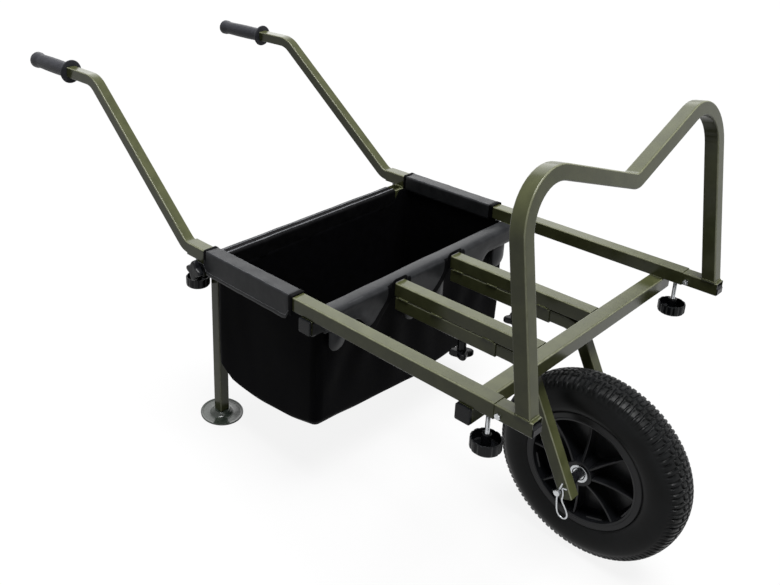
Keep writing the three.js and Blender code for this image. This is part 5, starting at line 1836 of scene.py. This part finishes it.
def stitch_row(name, piece, columns, row_length, out):
    """Stitches along columns of a cloth strip's grid, on the face that looks out."""
    places = [vertex.co + out * (SLEEVE_WALL / 2) for vertex in piece.data.vertices]
    values = {
        "Step": STITCH_PITCH,
        "Size": Vector((STITCH_RADIUS, STITCH_RADIUS, STITCH_HALF)),
        "Unevenness": STITCH_UNEVENNESS,
        "Material": thread,
    }
    sewn = grown(line_mesh([places[column::row_length] for column in columns]), beads_along, values)
    return place_piece(name, sewn, thread, "chassis")


def wrap_section(outer, inner, top, drop, inner_drop, corner):
    """The section of cloth laid over a tube: up its inner face, over the top, down the outer face."""
    turns = [math.pi / 2 * k / WRAP_CORNER_STEPS for k in range(WRAP_CORNER_STEPS + 1)]
    rise = top - corner + inner_drop
    points = [(inner, -inner_drop + rise * k / WRAP_RISE_STEPS) for k in range(WRAP_RISE_STEPS)]
    points += [(inner + corner * (1 - math.cos(t)), top - corner * (1 - math.sin(t))) for t in turns]
    width = outer - inner - 2 * corner
    points += [(inner + corner + width * k / WRAP_TOP_STEPS, top) for k in range(1, WRAP_TOP_STEPS)]
    points += [(outer - corner * (1 - math.sin(t)), top - corner * (1 - math.cos(t))) for t in turns]
    fall = drop + top - corner
    points += [(outer, top - corner - fall * k / WRAP_FALL_STEPS) for k in range(1, WRAP_FALL_STEPS + 1)]
    return points


RAIL_INNER_CLEAR = 0.0014
RAIL_OUTER_CLEAR = 0.0018
rail_inner = FRAME_WIDTH / 2 - TUBE_SECTION - RAIL_INNER_CLEAR
rail_outer = FRAME_WIDTH / 2 + RAIL_OUTER_CLEAR
side_section = wrap_section(rail_outer, rail_inner, SLEEVE_TOP, SLEEVE_DROP, SLEEVE_INNER_DROP, WRAP_CORNER)
row_length = len(side_section)


def side_cut(s, down):
    """Rounds the outer flap's two lower corners."""
    from_end = min(s - SLEEVE_REAR_X, SLEEVE_FRONT_X - s)
    if down < SLEEVE_LOOSE_FROM or from_end > SLEEVE_CORNER:
        return 0
    rise = SLEEVE_CORNER - math.sqrt(max(0.0, SLEEVE_CORNER**2 - (SLEEVE_CORNER - from_end) ** 2))
    return rise * (down - SLEEVE_LOOSE_FROM) / SLEEVE_LOOSE_OVER


def edge_tape(name, shorter, span, looseness, sign):
    """The bound end of a side sleeve: a band of tape wrapped over it."""
    return cloth_strip(
        name,
        wrap_section(
            rail_outer + TAPE_OUTER_LIFT,
            rail_inner - TAPE_INNER_LIFT,
            TAPE_TOP,
            SLEEVE_DROP - shorter,
            TAPE_INNER_DROP,
            WRAP_CORNER,
        ),
        span,
        lambda s, a, h: at(s, sign * a, h),
        binding_cloth,
        lambda s, down: (looseness * uneven((s, down, sign), TAPE_WAVES), 0.0),
    )


for side_name, sign in SIDES:
    def side_wave(s, down, sign=sign):
        loose = max(0.0, down - SLEEVE_LOOSE_FROM) / SLEEVE_LOOSE_OVER
        soft = uneven((s, sign, down), SLEEVE_SOFT_WAVES)
        lift = SLEEVE_LIFT * uneven((s, sign, down), SLEEVE_LIFT_WAVES)
        return (SLEEVE_LOOSE * loose + SLEEVE_SOFT * loose * soft, lift)

    side_sleeve = cloth_strip(
        f"bag_sleeve_{side_name}",
        side_section,
        (SLEEVE_REAR_X, SLEEVE_FRONT_X),
        lambda s, a, h, sign=sign: at(s, sign * a, h),
        sleeve_cloth,
        side_wave,
        side_cut,
    )
    span = [SLEEVE_FRONT_X + end for end in HEM_SPAN]
    name = f"bag_sleeve_hem_{side_name}"
    front_hem = edge_tape(name, shorter=0.014, span=span, looseness=0.0006, sign=sign)
    columns = (row_length + FLAP_STITCH_COLUMN,)
    name = f"bag_sleeve_stitches_{side_name}"
    sewn_flap = stitch_row(name, side_sleeve, columns, row_length, leftward * sign)
    name = f"bag_sleeve_top_stitches_{side_name}"
    sewn_top = stitch_row(name, side_sleeve, TOP_STITCH_COLUMNS, row_length, upward)
    span = [SLEEVE_REAR_X + end for end in REAR_TAPE_SPAN]
    name = f"bag_sleeve_binding_{side_name}"
    rear_binding = edge_tape(name, shorter=0.010, span=span, looseness=0.0005, sign=sign)
    declare_sheet(side_sleeve)

BAR_CLEAR = 0.0016
REAR_SLEEVE_GAP = 0.005
FRONT_SLEEVE_GAP = 0.002
bar_top = TUBE_SECTION / 2 + BAR_CLEAR
rear_half = LEG_Y - LEG_SECTION / 2 - REAR_SLEEVE_GAP
front_half = FRAME_WIDTH / 2 - TUBE_SECTION - FRONT_SLEEVE_GAP
BAR_WRAP_HALF = TUBE_SECTION / 2 + 0.0018
ROLL_CROWN = 0.0006
ROLL_STEPS = 8
SEAM_HALF = 0.0016
SEAM_LIFT = 0.0011
SEAM_PLACE = 0.0085
ROLL_FULLNESS = 0.7
ROLL_SPREAD = 2
ROLL_PUSH = 0.0007
ROLL_PUSH_WAVES = (20, 4, 1)
ROLL_LIFT = 0.0010
ROLL_LIFT_WAVES = (13, 1, 1)


def roll_section(behind, ahead, corner):
    """The section of cloth rolled over a crossbar, with how far it falls behind it and ahead of it."""
    shoulder = bar_top - corner
    rising = [(-BAR_WRAP_HALF, shoulder - behind * (1 - k / ROLL_STEPS)) for k in range(ROLL_STEPS)]
    falling = [(BAR_WRAP_HALF, shoulder - ahead * k / ROLL_STEPS) for k in range(1, ROLL_STEPS + 1)]
    over = []
    for k in range(2 * ROLL_STEPS + 1):
        angle = math.pi * (1 - k / (2 * ROLL_STEPS))
        across, rise = math.cos(angle), math.sin(angle)
        flat = math.copysign(BAR_WRAP_HALF - corner, across) * min(1.0, abs(across) * ROLL_SPREAD)
        height = shoulder + corner * rise**ROLL_FULLNESS + ROLL_CROWN * rise
        over.append((flat + corner * across, height))
    return rising + over + falling


def rolled_sleeve(name, section, half_length, x, material, seed):
    """A sleeve along a crossbar, a little loose over it."""
    return cloth_strip(
        name,
        section,
        (-half_length, half_length),
        lambda s, a, h: at(x + a, s, CROSSBAR_Z + h),
        material,
        lambda s, down: (
            ROLL_PUSH * uneven((s, down, seed), ROLL_PUSH_WAVES),
            ROLL_LIFT * uneven((s, seed, down), ROLL_LIFT_WAVES),
        ),
    )


REAR_SEED = 2
FRONT_SEED = 7
rear_section = roll_section(behind=0.026, ahead=0.035, corner=0.005)
rear_sleeve = rolled_sleeve(
    "bag_sleeve_rear", rear_section, rear_half, REAR_CROSSBAR_X, binding_cloth, REAR_SEED
)
for where, a in (("back", -SEAM_PLACE), ("front", SEAM_PLACE)):
    section = [(a + SEAM_HALF * (k - 1), bar_top + SEAM_LIFT * (1 + (k == 1))) for k in range(3)]
    name = f"bag_sleeve_rear_seam_{where}"
    rolled_sleeve(name, section, rear_half, REAR_CROSSBAR_X, thread, REAR_SEED)
declare_sheet(rear_sleeve)

FRONT_ROLL = 0.010
END_TOP = 0.0125
END_FALL = 0.0285
END_UNDER = -0.0168
END_ACROSS = 0.0325
END_CREASE = 0.0003
END_WALL = 0.0014
END_PUSH = 0.0004
END_WAVES = (60, 5, 1)
END_SEED = 3
END_OVERLAP = 0.006
END_INSET = 0.001
front_section = roll_section(behind=0.026, ahead=0.005, corner=FRONT_ROLL)
front_sleeve = rolled_sleeve(
    "bag_sleeve_front", front_section, front_half, MIDDLE_CROSSBAR_X, sleeve_cloth, FRONT_SEED
)
end_section = [(BAR_WRAP_HALF, END_TOP - END_FALL * k / ROLL_STEPS) for k in range(ROLL_STEPS + 1)]
end_section += [
    (BAR_WRAP_HALF - END_ACROSS * k / ROLL_STEPS, END_UNDER + END_CREASE * (k % 2))
    for k in range(1, ROLL_STEPS + 1)
]
for side_name, sign in SIDES:
    cloth_strip(
        f"bag_sleeve_end_{side_name}",
        end_section,
        (front_half - END_OVERLAP, FRAME_WIDTH / 2 - END_INSET),
        lambda s, a, h, sign=sign: at(MIDDLE_CROSSBAR_X + a, sign * s, CROSSBAR_Z + h),
        sleeve_cloth,
        lambda s, down: (END_PUSH * uneven((s, down, END_SEED), END_WAVES), 0.0),
        thickness=END_WALL,
    )
ARCH_CLEAR = TUBE_SECTION / 2 + 0.0012
ARCH_AHEAD = 0.0045
ARCH_RADIAL = 0.0038
ARCH_DEPTH = 0.0020
ARCH_CORNER = 0.006
ARCH_FOOT = -0.012
ARCH_POINTS = 12
half = ARCH_CLEAR + ARCH_RADIAL
arch_corners = ((-half, ARCH_FOOT), (-half, half), (half, half), (half, ARCH_FOOT))
arch_line = bend_line([Vector(corner) for corner in arch_corners], (ARCH_CORNER, ARCH_CORNER))
arch_angles = [2 * math.pi * k / ARCH_POINTS for k in range(ARCH_POINTS)]
for side_name, sign in SIDES:
    built = bmesh.new()
    rows = []
    middle = at(MIDDLE_CROSSBAR_X + TUBE_SECTION / 2 + ARCH_AHEAD, sign * INNER_RAIL_Y, CROSSBAR_Z)
    for place, along in arch_line:
        across = leftward * along.y - upward * along.x
        centre = middle + leftward * place.x + upward * place.y
        rows.append([
            built.verts.new(
                centre + across * (ARCH_RADIAL * math.cos(angle)) + forward * (ARCH_DEPTH * math.sin(angle))
            )
            for angle in arch_angles
        ])
    loft(built, rows)
    bmesh.ops.recalc_face_normals(built, faces=built.faces)
    name = f"bag_sleeve_arch_{side_name}"
    place_piece(name, built, binding_cloth, "chassis")
declare_sheet(front_sleeve)

# The front flaps: three tongues of the sleeve's cloth that hang ahead of the bag, beside and between the
# inner rails. A broad black tape binds their edges, which draw back from the rails in an S as they go down.
FLAP_DROP = 0.084
FLAP_SPREAD = 0.060
FLAP_SHORT_FROM = 0.165
FLAP_SHORT_OVER = 0.060
FLAP_SHORT_SHARE = 0.55
FLAP_ROWS = 26
FLAP_COLUMNS = 32
FLAP_FACE = MIDDLE_CROSSBAR_X + TUBE_SECTION / 2 + 0.0030
FLAP_BACK_FROM = 0.2
FLAP_BACK_OVER = 0.9
FLAP_BILLOW = 0.006
FLAP_BILLOW_IN = -0.003
FLAP_WAVES = (9, 1.4, 1)
FLAP_LEAN = 0.002
BINDING_WIDTH = 0.019
BINDING_LIFT = 0.0012
BINDING_WALL = 0.0008
BINDING_COLUMNS = 4
FLAP_TUCK = 0.001
FLAP_GAP = 0.0165
flap_top = CROSSBAR_Z + bar_top - FLAP_TUCK


def flap_edge(down):
    """How far a flap's edge has drawn back from the inner rail at a share of its drop."""
    return FLAP_SPREAD * eased((down - FLAP_BACK_FROM) / FLAP_BACK_OVER)


def flap_point(y, down, seed):
    """A place on a flap: it hangs plumb, stands off a little, and is shorter beside the side rail."""
    billow = FLAP_BILLOW * down * uneven((y, down, seed), FLAP_WAVES)
    drop = FLAP_DROP * (1 - FLAP_SHORT_SHARE * eased((abs(y) - FLAP_SHORT_FROM) / FLAP_SHORT_OVER))
    height = flap_top - drop * down
    above = max(0.0, height - (CROSSBAR_Z + bar_top - FRONT_ROLL))
    rolled_back = FRONT_ROLL - math.sqrt(max(0.0, FRONT_ROLL**2 - above**2))
    return at(FLAP_FACE + FLAP_LEAN * down + max(FLAP_BILLOW_IN, billow) - rolled_back, y, height)


def sheet_between(name, edges, columns, material, lift, seed, thickness):
    """A sheet on a flap's surface between two edges, each a function of the share of the drop."""
    built = bmesh.new()
    rows = []
    for i in range(FLAP_ROWS + 1):
        down = i / FLAP_ROWS
        low, high = (edge(down) for edge in edges)
        rows.append([
            built.verts.new(flap_point(low + (high - low) * j / columns, down, seed) + forward * lift)
            for j in range(columns + 1)
        ])
    return cloth_piece(name, built, rows, material, thickness)


def flap_panel(name, left_edge, right_edge, narrow_left, narrow_right, seed):
    """A flap with a bound edge on each side where it draws back."""
    def low(down):
        return left_edge + (flap_edge(down) if narrow_left else 0)

    def high(down):
        return right_edge - (flap_edge(down) if narrow_right else 0)

    for wanted, edge, inward, end_name in ((narrow_left, low, 1, "low"), (narrow_right, high, -1, "high")):
        if wanted:
            tape = (edge, lambda down, edge=edge, inward=inward: edge(down) + inward * BINDING_WIDTH)
            sheet_between(
                f"{name}_binding_{end_name}",
                tape[::inward],
                BINDING_COLUMNS,
                binding_cloth,
                BINDING_LIFT,
                seed,
                BINDING_WALL,
            )
    panel = sheet_between(name, (low, high), FLAP_COLUMNS, sleeve_cloth, 0, seed, SLEEVE_WALL)
    declare_sheet(panel)


flap_panel("bag_flap_middle", -INNER_RAIL_Y + FLAP_GAP, INNER_RAIL_Y - FLAP_GAP, True, True, seed=4.0)
flap_panel("bag_flap_left", INNER_RAIL_Y + FLAP_GAP, front_half, True, False, seed=11.0)
flap_panel("bag_flap_right", -front_half, -INNER_RAIL_Y - FLAP_GAP, False, True, seed=17.0)

# The flap tabs: four short tabs with round ends that hang behind the flaps' lower edges. They close the
# front sleeve round the middle crossbar.
TAB_WIDTH = 0.046
TAB_TOP = CROSSBAR_Z - TUBE_SECTION / 2 - 0.004
TAB_FACE = FLAP_FACE - 0.0045
TAB_ROWS = 18
TAB_COLUMNS = 10
TAB_END_HALF = 0.002
TAB_BULGE = 0.005
TABS = ((-0.270, -0.121), (-0.041, -0.141), (0.041, -0.141), (0.270, -0.121))
for number, (y_middle, bottom) in enumerate(TABS, start=1):
    tab = bmesh.new()
    rows = []
    for i in range(TAB_ROWS + 1):
        z = TAB_TOP + (bottom - TAB_TOP) * i / TAB_ROWS
        above_end = z - bottom
        half = TAB_WIDTH / 2
        if above_end < half:
            half = max(TAB_END_HALF, math.sqrt(max(0.0, half**2 - (half - above_end) ** 2)))
        bulge = TAB_BULGE * math.sin(math.pi * i / TAB_ROWS)
        row = []
        for j in range(TAB_COLUMNS + 1):
            across = 2 * j / TAB_COLUMNS - 1
            row.append(tab.verts.new(at(TAB_FACE + bulge * (1 - across**2), y_middle + half * across, z)))
        rows.append(row)
    panel = cloth_piece(f"bag_tab_{number}", tab, rows, sleeve_cloth, SLEEVE_WALL)
    declare_sheet(panel)
